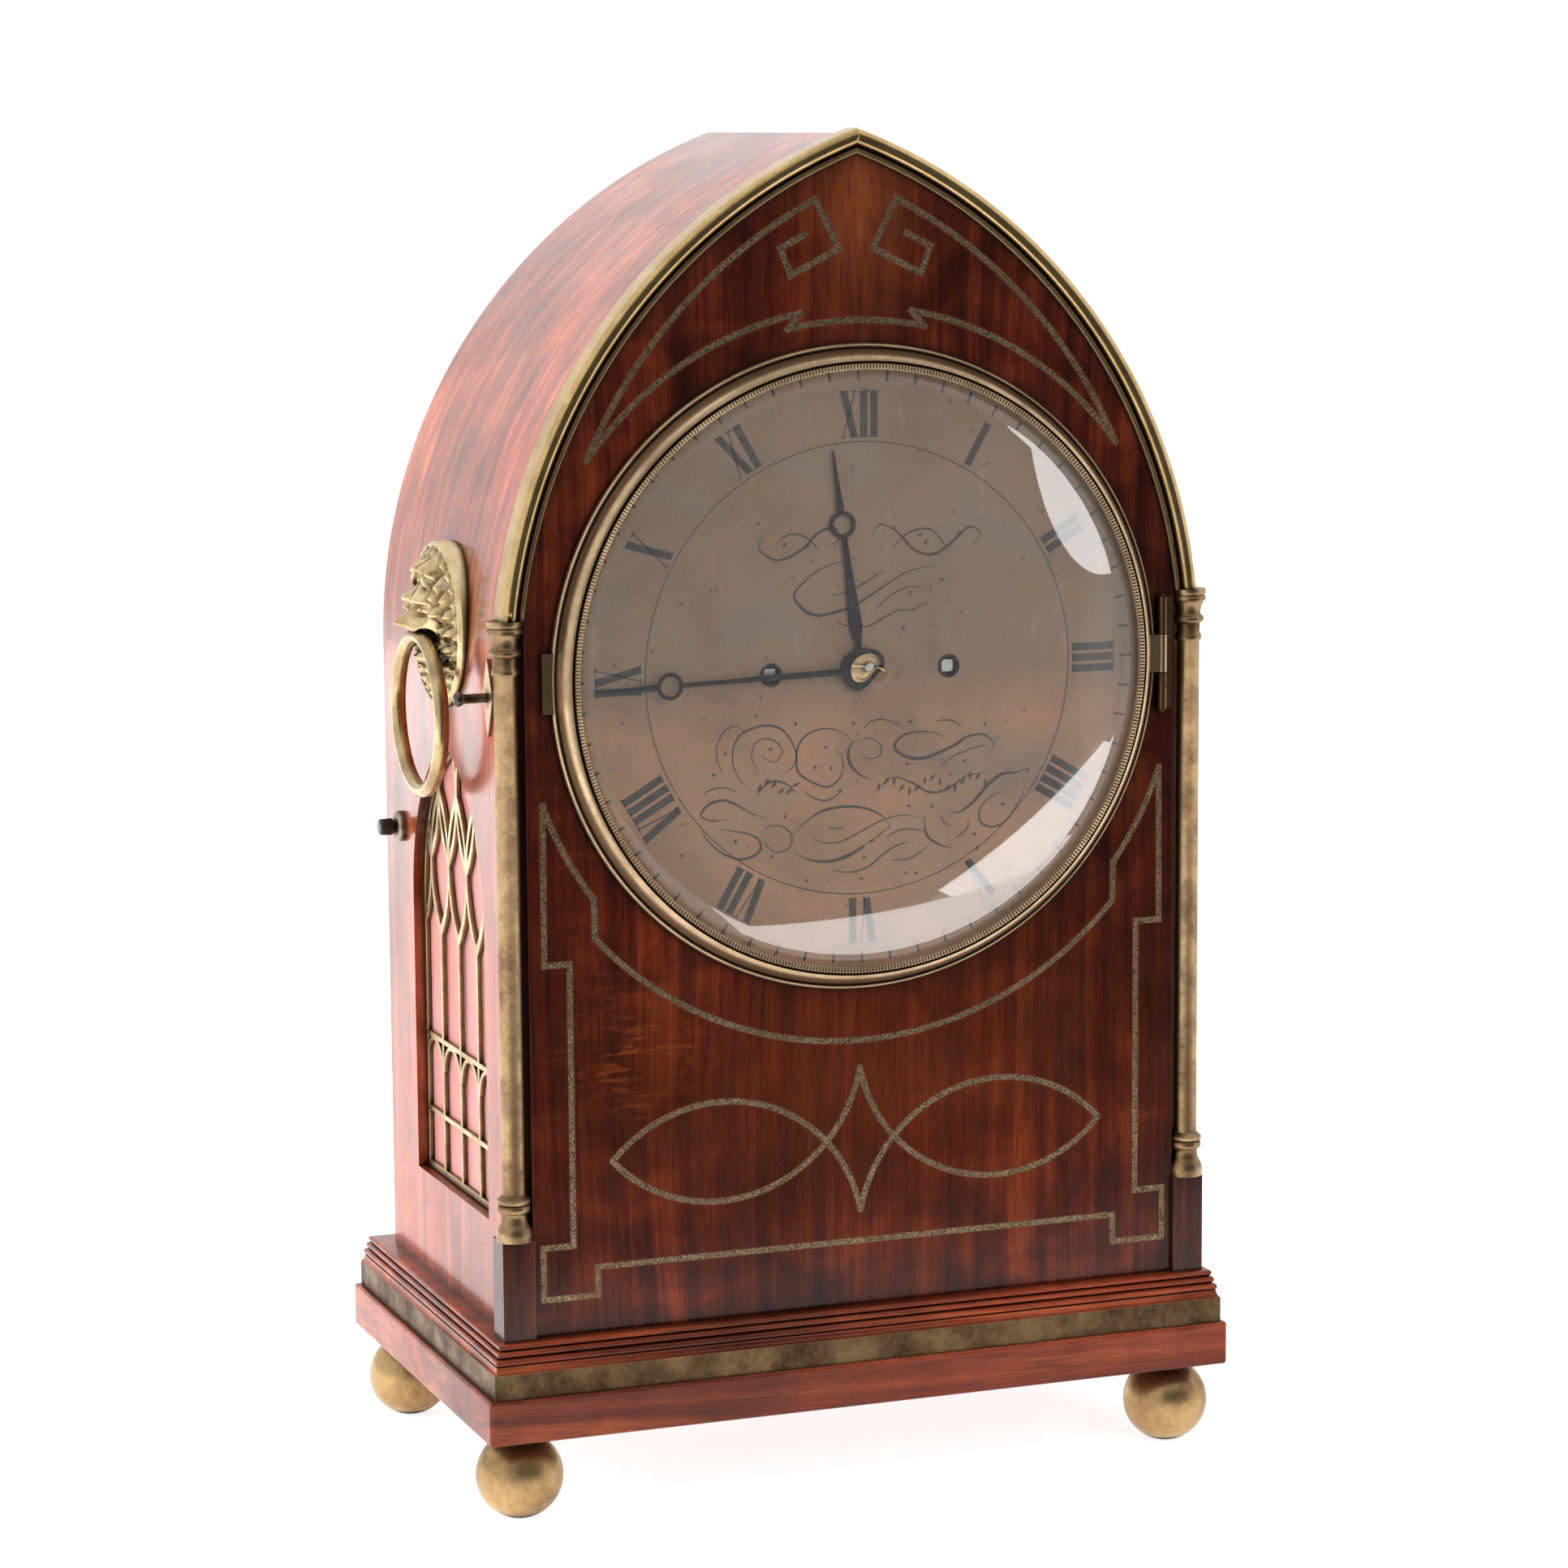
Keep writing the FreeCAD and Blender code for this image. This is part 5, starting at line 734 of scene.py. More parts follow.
def minute_ticks():
    """The minute ring: one short stroke on each of a count of points round the dial."""
    tree = bpy.data.node_groups.new("minute_ticks", "GeometryNodeTree")
    tree.interface.new_socket("Geometry", in_out="OUTPUT", socket_type="NodeSocketGeometry")
    inputs = {}
    for label, kind, default in (
        ("Ticks", "Int", 60), ("Radius", "Float", 0.0972), ("Tick length", "Float", 0.0026),
        ("Tick width", "Float", 0.00085), ("Finish", "Material", fine_wax),
    ):
        socket = tree.interface.new_socket(label, in_out="INPUT", socket_type="NodeSocket" + kind)
        socket.default_value = default
        inputs[label] = socket.identifier
    take = tree.nodes.new("NodeGroupInput").outputs
    ring = tree.nodes.new("GeometryNodeMeshCircle")
    tree.links.new(take["Ticks"], ring.inputs["Vertices"])
    tree.links.new(take["Radius"], ring.inputs["Radius"])
    size = tree.nodes.new("ShaderNodeCombineXYZ")
    tree.links.new(take["Tick length"], size.inputs["X"])
    tree.links.new(take["Tick width"], size.inputs["Y"])
    size.inputs["Z"].default_value = 0.00014
    stroke = tree.nodes.new("GeometryNodeMeshCube")
    tree.links.new(size.outputs[0], stroke.inputs["Size"])
    where = tree.nodes.new("GeometryNodeInputPosition")
    facing = tree.nodes.new("FunctionNodeAlignEulerToVector")
    facing.axis = "X"
    facing.pivot_axis = "Z"
    tree.links.new(where.outputs[0], facing.inputs["Vector"])
    spread = tree.nodes.new("GeometryNodeInstanceOnPoints")
    tree.links.new(ring.outputs[0], spread.inputs["Points"])
    tree.links.new(stroke.outputs[0], spread.inputs["Instance"])
    tree.links.new(facing.outputs[0], spread.inputs["Rotation"])
    upright = tree.nodes.new("GeometryNodeTransform")
    upright.inputs["Rotation"].default_value = (math.radians(90), 0.0, 0.0)
    upright.inputs["Translation"].default_value = (0.0, DIAL_FACE + 0.00003, DIAL_Z)
    real = tree.nodes.new("GeometryNodeRealizeInstances")
    finish = tree.nodes.new("GeometryNodeSetMaterial")
    tree.links.new(take["Finish"], finish.inputs["Material"])
    give = tree.nodes.new("NodeGroupOutput")
    tree.links.new(spread.outputs[0], upright.inputs[0])
    tree.links.new(upright.outputs[0], real.inputs[0])
    tree.links.new(real.outputs[0], finish.inputs[0])
    tree.links.new(finish.outputs[0], give.inputs[0])
    return tree, inputs


def grown(name, tree, inputs, values):
    """Runs a Geometry Nodes tree with the given inputs and keeps its result as a plain mesh."""
    seed = bpy.data.objects.new(name + "_seed", bpy.data.meshes.new(name + "_seed"))
    bpy.context.scene.collection.objects.link(seed)
    modifier = seed.modifiers.new("made", "NODES")
    modifier.node_group = tree
    for label, value in values.items():
        modifier[inputs[label]] = value
    bpy.context.view_layer.update()
    shown = seed.evaluated_get(bpy.context.evaluated_depsgraph_get())
    data = bpy.data.meshes.new_from_object(shown)
    seed.modifiers.remove(modifier)
    bpy.data.objects.remove(seed)
    data.name = name
    piece = bpy.data.objects.new(name, data)
    bpy.context.scene.collection.objects.link(piece)
    return piece


tick_tree, tick_inputs = minute_ticks()
ticks = grown("dial_minute_ticks", tick_tree, tick_inputs, {"Ticks": 60, "Finish": fine_wax})
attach(ticks, "case")

# ---------------------------------------------------------------------------
# Winding collets, hands and their domed collet: the hands are filed from steel
# with a ridge down the middle and an open ring, and blued; the collet is brass,
# held on the square of the arbor by a tapered pin.
# ---------------------------------------------------------------------------


def blued_steel():
    """Old blueing: nearly black, bluish on the ridges and brown where it has gone."""
    material, tree, shader, place = finish_named("blued_steel")
    spot = noise(tree, place, 320.0, 4.0, 0.7)
    tone = ramp(tree, spot, (0.36, (0.012, 0.013, 0.020)), (0.66, (0.050, 0.038, 0.034)))
    tree.links.new(tone, shader.inputs["Base Color"])
    tree.links.new(ramp(tree, spot, (0.3, 0.30), (0.7, 0.50)), shader.inputs["Roughness"])
    shader.inputs["Metallic"].default_value = 0.85
    return material


def closed_shape(mesh, rings, looped=False):
    """Adds a shape whose cross sections are rings of points, all with as many points."""
    rows = [[mesh.verts.new(point) for point in ring] for ring in rings]
    count = len(rows[0])
    pairs = list(zip(rows, rows[1:])) + ([(rows[-1], rows[0])] if looped else [])
    for one, two in pairs:
        for k in range(count):
            mesh.faces.new((one[k], one[(k + 1) % count], two[(k + 1) % count], two[k]))
    if not looped:
        mesh.faces.new(rows[0])
        mesh.faces.new(list(reversed(rows[-1])))


def spun(mesh, profile, centre, axis="y", steps=96, closed=False):
    """A shape turned from (radius, place along the axis) points about an axis through centre."""
    rings = []
    for step in range(steps):
        a = 2 * math.pi * step / steps
        c, d = math.cos(a), math.sin(a)
        ring = []
        for radius, along in profile:
            if axis == "y":
                ring.append((centre[0] + radius * c, along, centre[1] + radius * d))
            elif axis == "x":
                ring.append((along, centre[0] + radius * c, centre[1] + radius * d))
            else:
                ring.append((centre[0] + radius * c, centre[1] + radius * d, along))
        rings.append(ring)
    if closed:
        closed_shape(mesh, rings, looped=True)
        return
    rows = [[mesh.verts.new(point) for point in ring] for ring in rings]
    for one, two in zip(rows, rows[1:] + rows[:1]):
        for k in range(len(profile) - 1):
            mesh.faces.new((one[k], one[k + 1], two[k + 1], two[k]))


def piece_from(name, mesh, material, body, angle=30.0, nodes=()):
    """Finishes a mesh: doubles merged, faces outwards, smooth up to an angle, riding on its body."""
    bmesh.ops.remove_doubles(mesh, verts=mesh.verts, dist=2e-7)
    bmesh.ops.recalc_face_normals(mesh, faces=mesh.faces)
    data = bpy.data.meshes.new(name)
    mesh.to_mesh(data)
    mesh.free()
    data.shade_smooth()
    data.set_sharp_from_angle(angle=math.radians(angle))
    data.materials.append(material)
    piece = bpy.data.objects.new(name, data)
    bpy.context.scene.collection.objects.link(piece)
    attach(piece, body)
    if nodes:
        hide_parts(*nodes)
    return piece


def hand_mesh(length, ring_at, leaf, front, angle, boss):
    """A ridged leaf, an open ring and a pointed tip on a round boss, pointing angle degrees from up."""
    mesh = bmesh.new()
    turn = math.radians(angle)
    thick, ridge = 0.0008, 0.0004

    def put(across, along, depth):
        return (
            across * math.cos(turn) + along * math.sin(turn),
            depth,
            DIAL_Z + along * math.cos(turn) - across * math.sin(turn),
        )

    def stem(stations):
        rings = []
        for along, half in stations:
            rings.append([
                put(-half, along, front + thick), put(-half, along, front + ridge),
                put(0.0, along, front), put(half, along, front + ridge), put(half, along, front + thick),
            ])
        closed_shape(mesh, rings)

    outer = 0.0046
    stem(leaf + [(ring_at - outer + 0.0005, leaf[-1][1])])
    first = ring_at + outer - 0.0005
    stem([(first, 0.0007), (first + 0.002, 0.0012), (first + 0.006, 0.00085), (length, 0.00028)])
    ring = [(outer, front + thick), (outer, front + ridge), (outer - 0.0006, front + 0.0001),
            (outer - 0.0013, front + ridge), (outer - 0.0013, front + thick)]
    at = put(0.0, ring_at, 0.0)
    spun(mesh, ring, (at[0], at[2]), steps=64, closed=True)
    hub = [(0.0021, front + thick), (boss, front + thick), (boss, front + ridge),
           (boss - 0.0007, front), (0.0021, front)]
    spun(mesh, hub, (0.0, DIAL_Z), steps=96, closed=True)
    return mesh


steel_blue = blued_steel()
HOUR_FRONT, MINUTE_FRONT = -0.0744, -0.0762
hour_leaf = [(0.006, 0.0009), (0.009, 0.0010), (0.0125, 0.0018), (0.0150, 0.0023),
             (0.0190, 0.0021), (0.030, 0.0014)]
minute_leaf = [(0.006, 0.0010), (0.012, 0.0011), (0.030, 0.0010), (0.050, 0.00075)]
hour_shape = hand_mesh(0.0746, 0.0495, hour_leaf + [(0.040, 0.00095)], HOUR_FRONT, 352.36, 0.0074)
piece_from("hour_hand_blued", hour_shape, steel_blue, "hour_train", 25.0, ["hour_hand"])
minute_shape = hand_mesh(0.0945, 0.069, minute_leaf, MINUTE_FRONT, 268.3, 0.0074)
piece_from("minute_hand_blued", minute_shape, steel_blue, "minute_train", 25.0,
        ["minute_hand"])

dome = bmesh.new()
spun(dome, [
    (0.00155, MINUTE_FRONT), (0.0050, MINUTE_FRONT), (0.0052, MINUTE_FRONT - 0.0003), (0.0052,
            MINUTE_FRONT - 0.0008),
    (0.0047, MINUTE_FRONT - 0.0011), (0.0044, MINUTE_FRONT - 0.0015), (0.0036, MINUTE_FRONT - 0.0022),
    (0.0024, MINUTE_FRONT - 0.0026), (0.00155, MINUTE_FRONT - 0.0026),
], (0.0, DIAL_Z), closed=True)
piece_from("hand_collet", dome, aged_brass, "minute_train", 40.0)

for side, sign in (("left", -1), ("right", 1)):
    ring = bmesh.new()
    spun(ring, [
        (0.0030, DIAL_FACE + 0.0004), (0.0038, DIAL_FACE + 0.0002), (0.0040, DIAL_FACE - 0.00012),
        (0.0036, DIAL_FACE - 0.0004), (0.0031, DIAL_FACE - 0.0003), (0.0029, DIAL_FACE),
    ], (sign * 0.0322, 0.2845), steps=48, closed=True)
    piece_from(f"winding_collet_{side}", ring, steel_blue, "case", 40.0)

# ---------------------------------------------------------------------------
# Bezel: a heavy cast ring turned to a broad convex band between a fine outer
# bead and a dark groove, with a milled inner edge against the glass.
# ---------------------------------------------------------------------------
PANEL_FACE = -0.071
BEZEL_BACK = PANEL_FACE - 0.0004
BEZEL_FRONT = PANEL_FACE - 0.0086


def band(first, last, count, sag):
    """Points along a bulging stretch of the bezel between two (radius, place) ends."""
    made = []
    for step in range(count + 1):
        share = step / count
        lift = math.sin(math.pi * share) * sag
        made.append((first[0] + (last[0] - first[0]) * share, first[1] + (last[1] - first[1]) * share - lift))
    return made


bezel_profile = [
    (0.1044, BEZEL_BACK), (0.1097, BEZEL_BACK), (0.1097, BEZEL_BACK - 0.0012),
    *band((0.1097, BEZEL_BACK - 0.0014), (0.1082, BEZEL_BACK - 0.0024), 6, 0.0005),
    (0.1081, BEZEL_BACK - 0.0019),
    *band((0.1079, BEZEL_BACK - 0.0022), (0.1040, BEZEL_FRONT + 0.0008), 16, 0.0011),
    (0.1037, BEZEL_FRONT + 0.0016), (0.1033, BEZEL_FRONT + 0.0016), (0.1031, BEZEL_FRONT + 0.0007),
    (0.1026, BEZEL_FRONT + 0.0005), (0.1016, BEZEL_FRONT + 0.0007), (0.1011, BEZEL_FRONT + 0.0011),
    (0.1011, PANEL_FACE - 0.0075), (0.1038, PANEL_FACE - 0.0066), (0.1038, PANEL_FACE - 0.0044),
    (0.1044, PANEL_FACE - 0.0044),
]
bezel_brass = brass("bezel_brass", (0.66, 0.48, 0.29), (0.42, 0.285, 0.165), (0.20, 0.34), 45.0, 1.6)
bezel = bmesh.new()
spun(bezel, bezel_profile, (0.0, DIAL_Z), steps=360, closed=True)
spun(bezel, [(0.00085, 0.2785), (0.0017, 0.2785), (0.0017, 0.2915), (0.00085, 0.2915)],
     (0.1124, PANEL_FACE - 0.0023), axis="z", steps=32, closed=True)
for low, high in (
    ((0.1072, PANEL_FACE - 0.0033, 0.2785), (0.1113, PANEL_FACE - 0.0013, 0.2915)),
    ((-0.1125, PANEL_FACE - 0.0026, 0.2755), (-0.1072, PANEL_FACE - 0.0009, 0.2955)),
):
    made = bmesh.ops.create_cube(bezel, size=1.0)
    bmesh.ops.scale(bezel, vec=[b - a for a, b in zip(low, high)], verts=made["verts"])
    bmesh.ops.translate(bezel, vec=[(a + b) / 2 for a, b in zip(low, high)], verts=made["verts"])
piece_from("bezel_turned", bezel, bezel_brass, "bezel", 32.0, ["bezel_ring"])


def milling():
    """Fine upright reeds pressed round the inner edge of the bezel."""
    tree = bpy.data.node_groups.new("bezel_milling", "GeometryNodeTree")
    tree.interface.new_socket("Geometry", in_out="OUTPUT", socket_type="NodeSocketGeometry")
    inputs = {}
    for label, kind, default in (
        ("Reeds", "Int", 560), ("Radius", "Float", 0.1022), ("Reed radius", "Float", 0.00040),
        ("Reed length", "Float", 0.0017), ("Finish", "Material", bezel_brass),
    ):
        socket = tree.interface.new_socket(label, in_out="INPUT", socket_type="NodeSocket" + kind)
        socket.default_value = default
        inputs[label] = socket.identifier
    take = tree.nodes.new("NodeGroupInput").outputs
    ring = tree.nodes.new("GeometryNodeMeshCircle")
    tree.links.new(take["Reeds"], ring.inputs["Vertices"])
    tree.links.new(take["Radius"], ring.inputs["Radius"])
    reed = tree.nodes.new("GeometryNodeMeshCylinder")
    reed.inputs["Vertices"].default_value = 6
    tree.links.new(take["Reed radius"], reed.inputs["Radius"])
    tree.links.new(take["Reed length"], reed.inputs["Depth"])
    lying = tree.nodes.new("GeometryNodeTransform")
    lying.inputs["Rotation"].default_value = (0.0, math.radians(80), 0.0)
    tree.links.new(reed.outputs[0], lying.inputs[0])
    where = tree.nodes.new("GeometryNodeInputPosition")
    facing = tree.nodes.new("FunctionNodeAlignEulerToVector")
    facing.axis = "X"
    facing.pivot_axis = "Z"
    tree.links.new(where.outputs[0], facing.inputs["Vector"])
    spread = tree.nodes.new("GeometryNodeInstanceOnPoints")
    tree.links.new(ring.outputs[0], spread.inputs["Points"])
    tree.links.new(lying.outputs[0], spread.inputs["Instance"])
    tree.links.new(facing.outputs[0], spread.inputs["Rotation"])
    upright = tree.nodes.new("GeometryNodeTransform")
    upright.inputs["Rotation"].default_value = (math.radians(90), 0.0, 0.0)
    upright.inputs["Translation"].default_value = (0.0, BEZEL_FRONT + 0.0006, DIAL_Z)
    real = tree.nodes.new("GeometryNodeRealizeInstances")
    finish = tree.nodes.new("GeometryNodeSetMaterial")
    tree.links.new(take["Finish"], finish.inputs["Material"])
    give = tree.nodes.new("NodeGroupOutput")
    tree.links.new(spread.outputs[0], upright.inputs[0])
    tree.links.new(upright.outputs[0], real.inputs[0])
    tree.links.new(real.outputs[0], finish.inputs[0])
    tree.links.new(finish.outputs[0], give.inputs[0])
    return tree, inputs


mill_tree, mill_inputs = milling()
reeds = grown("bezel_milled_edge", mill_tree, mill_inputs, {"Reeds": 560, "Finish": bezel_brass})
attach(reeds, "bezel")


def clock_glass():
    """Clear old glass, very slightly green, with a little dust; it lets light and shadows through."""
    material, tree, shader, place = finish_named("clock_glass")
    shader.inputs["Base Color"].default_value = (0.97, 0.985, 0.975, 1.0)
    shader.inputs["Transmission Weight"].default_value = 1.0
    shader.inputs["IOR"].default_value = 1.45
    dust = noise(tree, place, 60.0, 5.0, 0.7)
    tree.links.new(ramp(tree, dust, (0.45, 0.0), (0.75, 0.06)), shader.inputs["Roughness"])
    clear = fit(tree, "BsdfTransparent")
    path = fit(tree, "LightPath").outputs
    mixed = fit(tree, "MixShader", {0: path["Is Shadow Ray"], 1: shader.outputs[0], 2: clear.outputs[0]})
    tree.links.new(mixed.outputs[0], tree.nodes["Material Output"].inputs["Surface"])
    return material


glass_finish = clock_glass()
dome_glass = carried("bezel_glass", glass_finish, 60.0)
carried("bezel_hinge", hinge_brass, 40.0)


def screw_heads(name, places, axis, radius, material, body):
    """Countersunk screws: a flat head with a slot. axis is the way the heads face, places their centres."""
    mesh = bmesh.new()
    random.seed(7)
    for place in places:
        turn = random.uniform(0, math.pi)
        head = bmesh.new()
        half, deep = radius * 0.16, radius * 0.30
        profile = [(0.0, -radius * 0.6), (radius, -radius * 0.5), (radius, 0.0),
                   (radius * 0.86, radius * 0.14), (0.0, radius * 0.2)]
        spun(head, profile, (0.0, 0.0), axis="z", steps=24)
        bmesh.ops.remove_doubles(head, verts=head.verts, dist=1e-7)
        slot = bmesh.ops.create_cube(head, size=1.0)
        bmesh.ops.scale(head, vec=(2 * radius * 0.96, 2 * half, deep), verts=slot["verts"])
        bmesh.ops.translate(head, vec=(0.0, 0.0, radius * 0.09), verts=slot["verts"])
        way = Vector(axis).to_track_quat("Z", "Y").to_matrix().to_4x4()
        placed = Matrix.Translation(place) @ way @ Matrix.Rotation(turn, 4, "Z")
        bmesh.ops.transform(head, matrix=placed, verts=head.verts)
        data = bpy.data.meshes.new("screw")
        head.to_mesh(data)
        head.free()
        mesh.from_mesh(data)
        bpy.data.meshes.remove(data)
    return piece_from(name, mesh, material, body, 35.0)


# ---------------------------------------------------------------------------
# Handles: a cast and chased lion mask screwed to each side, its mouth holding
# a round brass ring that swings on its own wire.
# ---------------------------------------------------------------------------
MASK_Y, MASK_Z, MASK_RADIUS = -0.0025, 0.299, 0.0285
SIDE_FACE = 0.1254
RING_OUT, RING_PIVOT, RING_WIRE, RING_RADIUS = 0.1341, 0.2953, 0.0026, 0.0265


# The mane's rows of locks: distance from the centre, width and height in millimetres, count and turn.
MANE_ROWS = ((15.5, 3.6, 3.6, 15, 0.0), (20.3, 3.3, 2.9, 21, 0.5), (24.4, 2.4, 1.9, 27, 0.2))


def lion_relief(u, v):
    """Height of the casting off the side, in millimetres, at u across and v up from the mask's centre."""
    au = abs(u)
    radius = math.hypot(u, v)
    angle = math.atan2(u, v)

    def bump(cu, cv, su, sv, high, power=1.0):
        d = ((au - cu) / su) ** 2 + ((v - cv) / sv) ** 2
        return high * math.exp(-(d ** power))

    plate = 1.5
    rim = 1.1 * math.exp(-(((radius - 27.2) / 0.75) ** 2))
    face = 6.4 * math.exp(-((math.hypot(u / 13.0, (v - 1.5) / 15.5)) ** 4))
    locks = 0.0
    for at, wide, high, count, phase in MANE_ROWS:
        swirl = angle * count + phase * 2 * math.pi + (radius - at) * 0.42 * (1 if u > 0 else -1)
        lock = 0.55 + 0.45 * math.cos(swirl)
        strand = 0.18 * math.cos(swirl * 3 + radius * 1.3)
        locks = max(locks, (high * lock + strand) * math.exp(-(((radius - at) / wide) ** 2) * 1.6))
    mane = locks + 1.6 * math.exp(-(((radius - 17.5) / 6.0) ** 2))
    height = plate + rim + max(face, mane * (0.35 + 0.65 / (1 + math.exp(-(radius - 12.5) * 1.2))))
    height += bump(6.3, 8.8, 4.2, 2.0, 2.5)
    height += bump(0.0, 1.8, 5.4, 3.2, 4.4) + bump(5.2, 9.8, 3.9, 3.5, 3.8) + bump(5.4, 18.4, 4.4, 3.8, 5.0)
    height += bump(13.5, 5.5, 3.6, 4.4, 3.4) + bump(14.5, -4.5, 3.4, 4.0, 2.6)
    height += bump(5.6, 5.4, 2.3, 1.5, 1.1) - bump(5.6, 7.0, 3.0, 0.8, 1.2) - bump(5.6, 4.0, 2.7, 0.7, 0.8)
    height -= bump(5.6, 5.4, 0.75, 0.75, 0.9)
    height += bump(0.0, 5.0, 2.6, 6.5, 2.4)
    height += bump(0.0, 0.8, 3.4, 2.0, 3.2)
    height -= bump(1.9, -0.3, 0.9, 0.55, 1.2)
    height += bump(4.0, -1.0, 3.2, 2.4, 3.2)
    height -= bump(0.0, -1.6, 0.5, 1.6, 1.3)
    height += bump(0.0, 14.0, 3.2, 4.5, 1.6) - bump(0.0, 11.0, 0.8, 3.0, 0.8)
    height += bump(9.8, 1.2, 2.8, 4.0, 1.3)
    height += bump(12.4, 12.6, 2.6, 2.6, 2.3) - bump(12.0, 12.2, 1.2, 1.3, 1.7)
    mouth = math.exp(-((au / 4.6) ** 6 + ((v + 6.3) / 3.1) ** 4))
    height = height * (1 - mouth) + 3.0 * mouth
    height += bump(0.0, -11.4, 4.4, 2.1, 3.6) + bump(0.0, -9.2, 3.4, 0.9, 1.4)
    height += bump(0.0, -15.5, 3.4, 3.0, 2.0) * (0.8 + 0.2 * math.cos(u * 2.6))
    edge = MASK_RADIUS * 1000 - radius
    if edge < 0.35:
        height = min(height, 1.3 + edge)
    return height


def side_at(z):
    """Half the case's width at a height: straight below the springing, bent in above it."""
    if z <= SPRING:
        return SIDE_FACE
    return math.sqrt(ARCH_RADIUS ** 2 - (z - SPRING) ** 2) - ARCH_OFFSET


def lion_mask(side, sign, material):
    """The mask as a relief over its round plate, with a back that follows the case and a bore for the ring."""
    rings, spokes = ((150, 300))
    mesh = bmesh.new()
    front, back = [], []
    for layer, row_store in (("front", front), ("back", back)):
        for ring in range(rings + 1):
            radius = MASK_RADIUS * (ring / rings)
            row = []
            for spoke in range(spokes if ring else 1):
                a = 2 * math.pi * spoke / spokes
                u, v = radius * math.cos(a), radius * math.sin(a)
                z = MASK_Z + v
                if layer == "front":
                    out = max(SIDE_FACE + lion_relief(u * 1000, v * 1000) / 1000, side_at(z) + 0.0006)
                else:
                    out = side_at(z) + 0.0001
                row.append(mesh.verts.new((sign * out, MASK_Y + u, z)))
            row_store.append(row)
    for rows in (front, back):
        for ring in range(rings):
            inner, outer = rows[ring], rows[ring + 1]
            for spoke in range(spokes):
                nxt = (spoke + 1) % spokes
                if ring == 0:
                    mesh.faces.new((inner[0], outer[spoke], outer[nxt]))
                else:
                    mesh.faces.new((inner[spoke], outer[spoke], outer[nxt], inner[nxt]))
    for spoke in range(spokes):
        nxt = (spoke + 1) % spokes
        mesh.faces.new((front[-1][spoke], back[-1][spoke], back[-1][nxt], front[-1][nxt]))
    bmesh.ops.recalc_face_normals(mesh, faces=mesh.faces)
    data = bpy.data.meshes.new(f"lion_{side}")
    mesh.to_mesh(data)
    mesh.free()
    cast = bpy.data.objects.new(f"lion_head_{side}", data)
    bpy.context.scene.collection.objects.link(cast)
    bore = bmesh.new()
    ring = []
    for step in range(32):
        a = 2 * math.pi * step / 32
        ring.append((sign * RING_OUT + 0.0034 * math.cos(a), RING_PIVOT + 0.0034 * math.sin(a)))
    closed_shape(bore, [[(x, y, z) for x, z in ring] for y in (MASK_Y - 0.03, MASK_Y + 0.03)])
    bmesh.ops.recalc_face_normals(bore, faces=bore.faces)
    bore_data = bpy.data.meshes.new("ring_bore")
    bore.to_mesh(bore_data)
    bore.free()
    tool = bpy.data.objects.new("ring_bore", bore_data)
    bpy.context.scene.collection.objects.link(tool)
    cutter = cast.modifiers.new("bore", "BOOLEAN")
    cutter.operation = "DIFFERENCE"
    cutter.object = tool
    cutter.solver = "EXACT"
    bpy.context.view_layer.update()
    shown = cast.evaluated_get(bpy.context.evaluated_depsgraph_get())
    made = bpy.data.meshes.new_from_object(shown)
    cast.modifiers.remove(cutter)
    cast.data = made
    bpy.data.objects.remove(tool)
    made.shade_smooth()
    made.set_sharp_from_angle(angle=math.radians(50))
    made.materials.clear()
    made.materials.append(material)
    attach(cast, "case")
    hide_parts(f"lion_mask_{side}")
    return cast


mask_brass = brass("mask_brass", (0.80, 0.63, 0.36), (0.56, 0.40, 0.19), (0.22, 0.36), 150.0, 2.2, 0.9)
ring_brass = brass("ring_brass", (0.62, 0.46, 0.24), (0.36, 0.25, 0.13), (0.20, 0.34), 90.0)
for side, sign in (("left", -1), ("right", 1)):
    lion_mask(side, sign, mask_brass)
    carried(f"ring_handle_{side}", ring_brass, 60.0)

# ---------------------------------------------------------------------------
# Side frets: Gothic tracery sawn from sheet brass and let into the sides, with
# silk stretched on a card behind it, faded to a dusty pink.
# ---------------------------------------------------------------------------
fret_brass = brass("fret_brass", (0.62, 0.48, 0.26), (0.40, 0.28, 0.15), (0.24, 0.42), 110.0, 1.4)
FRET_HALF, FRET_SPRING, FRET_RISE, FRET_BASE = 0.0425, 0.200, 0.057, 0.100


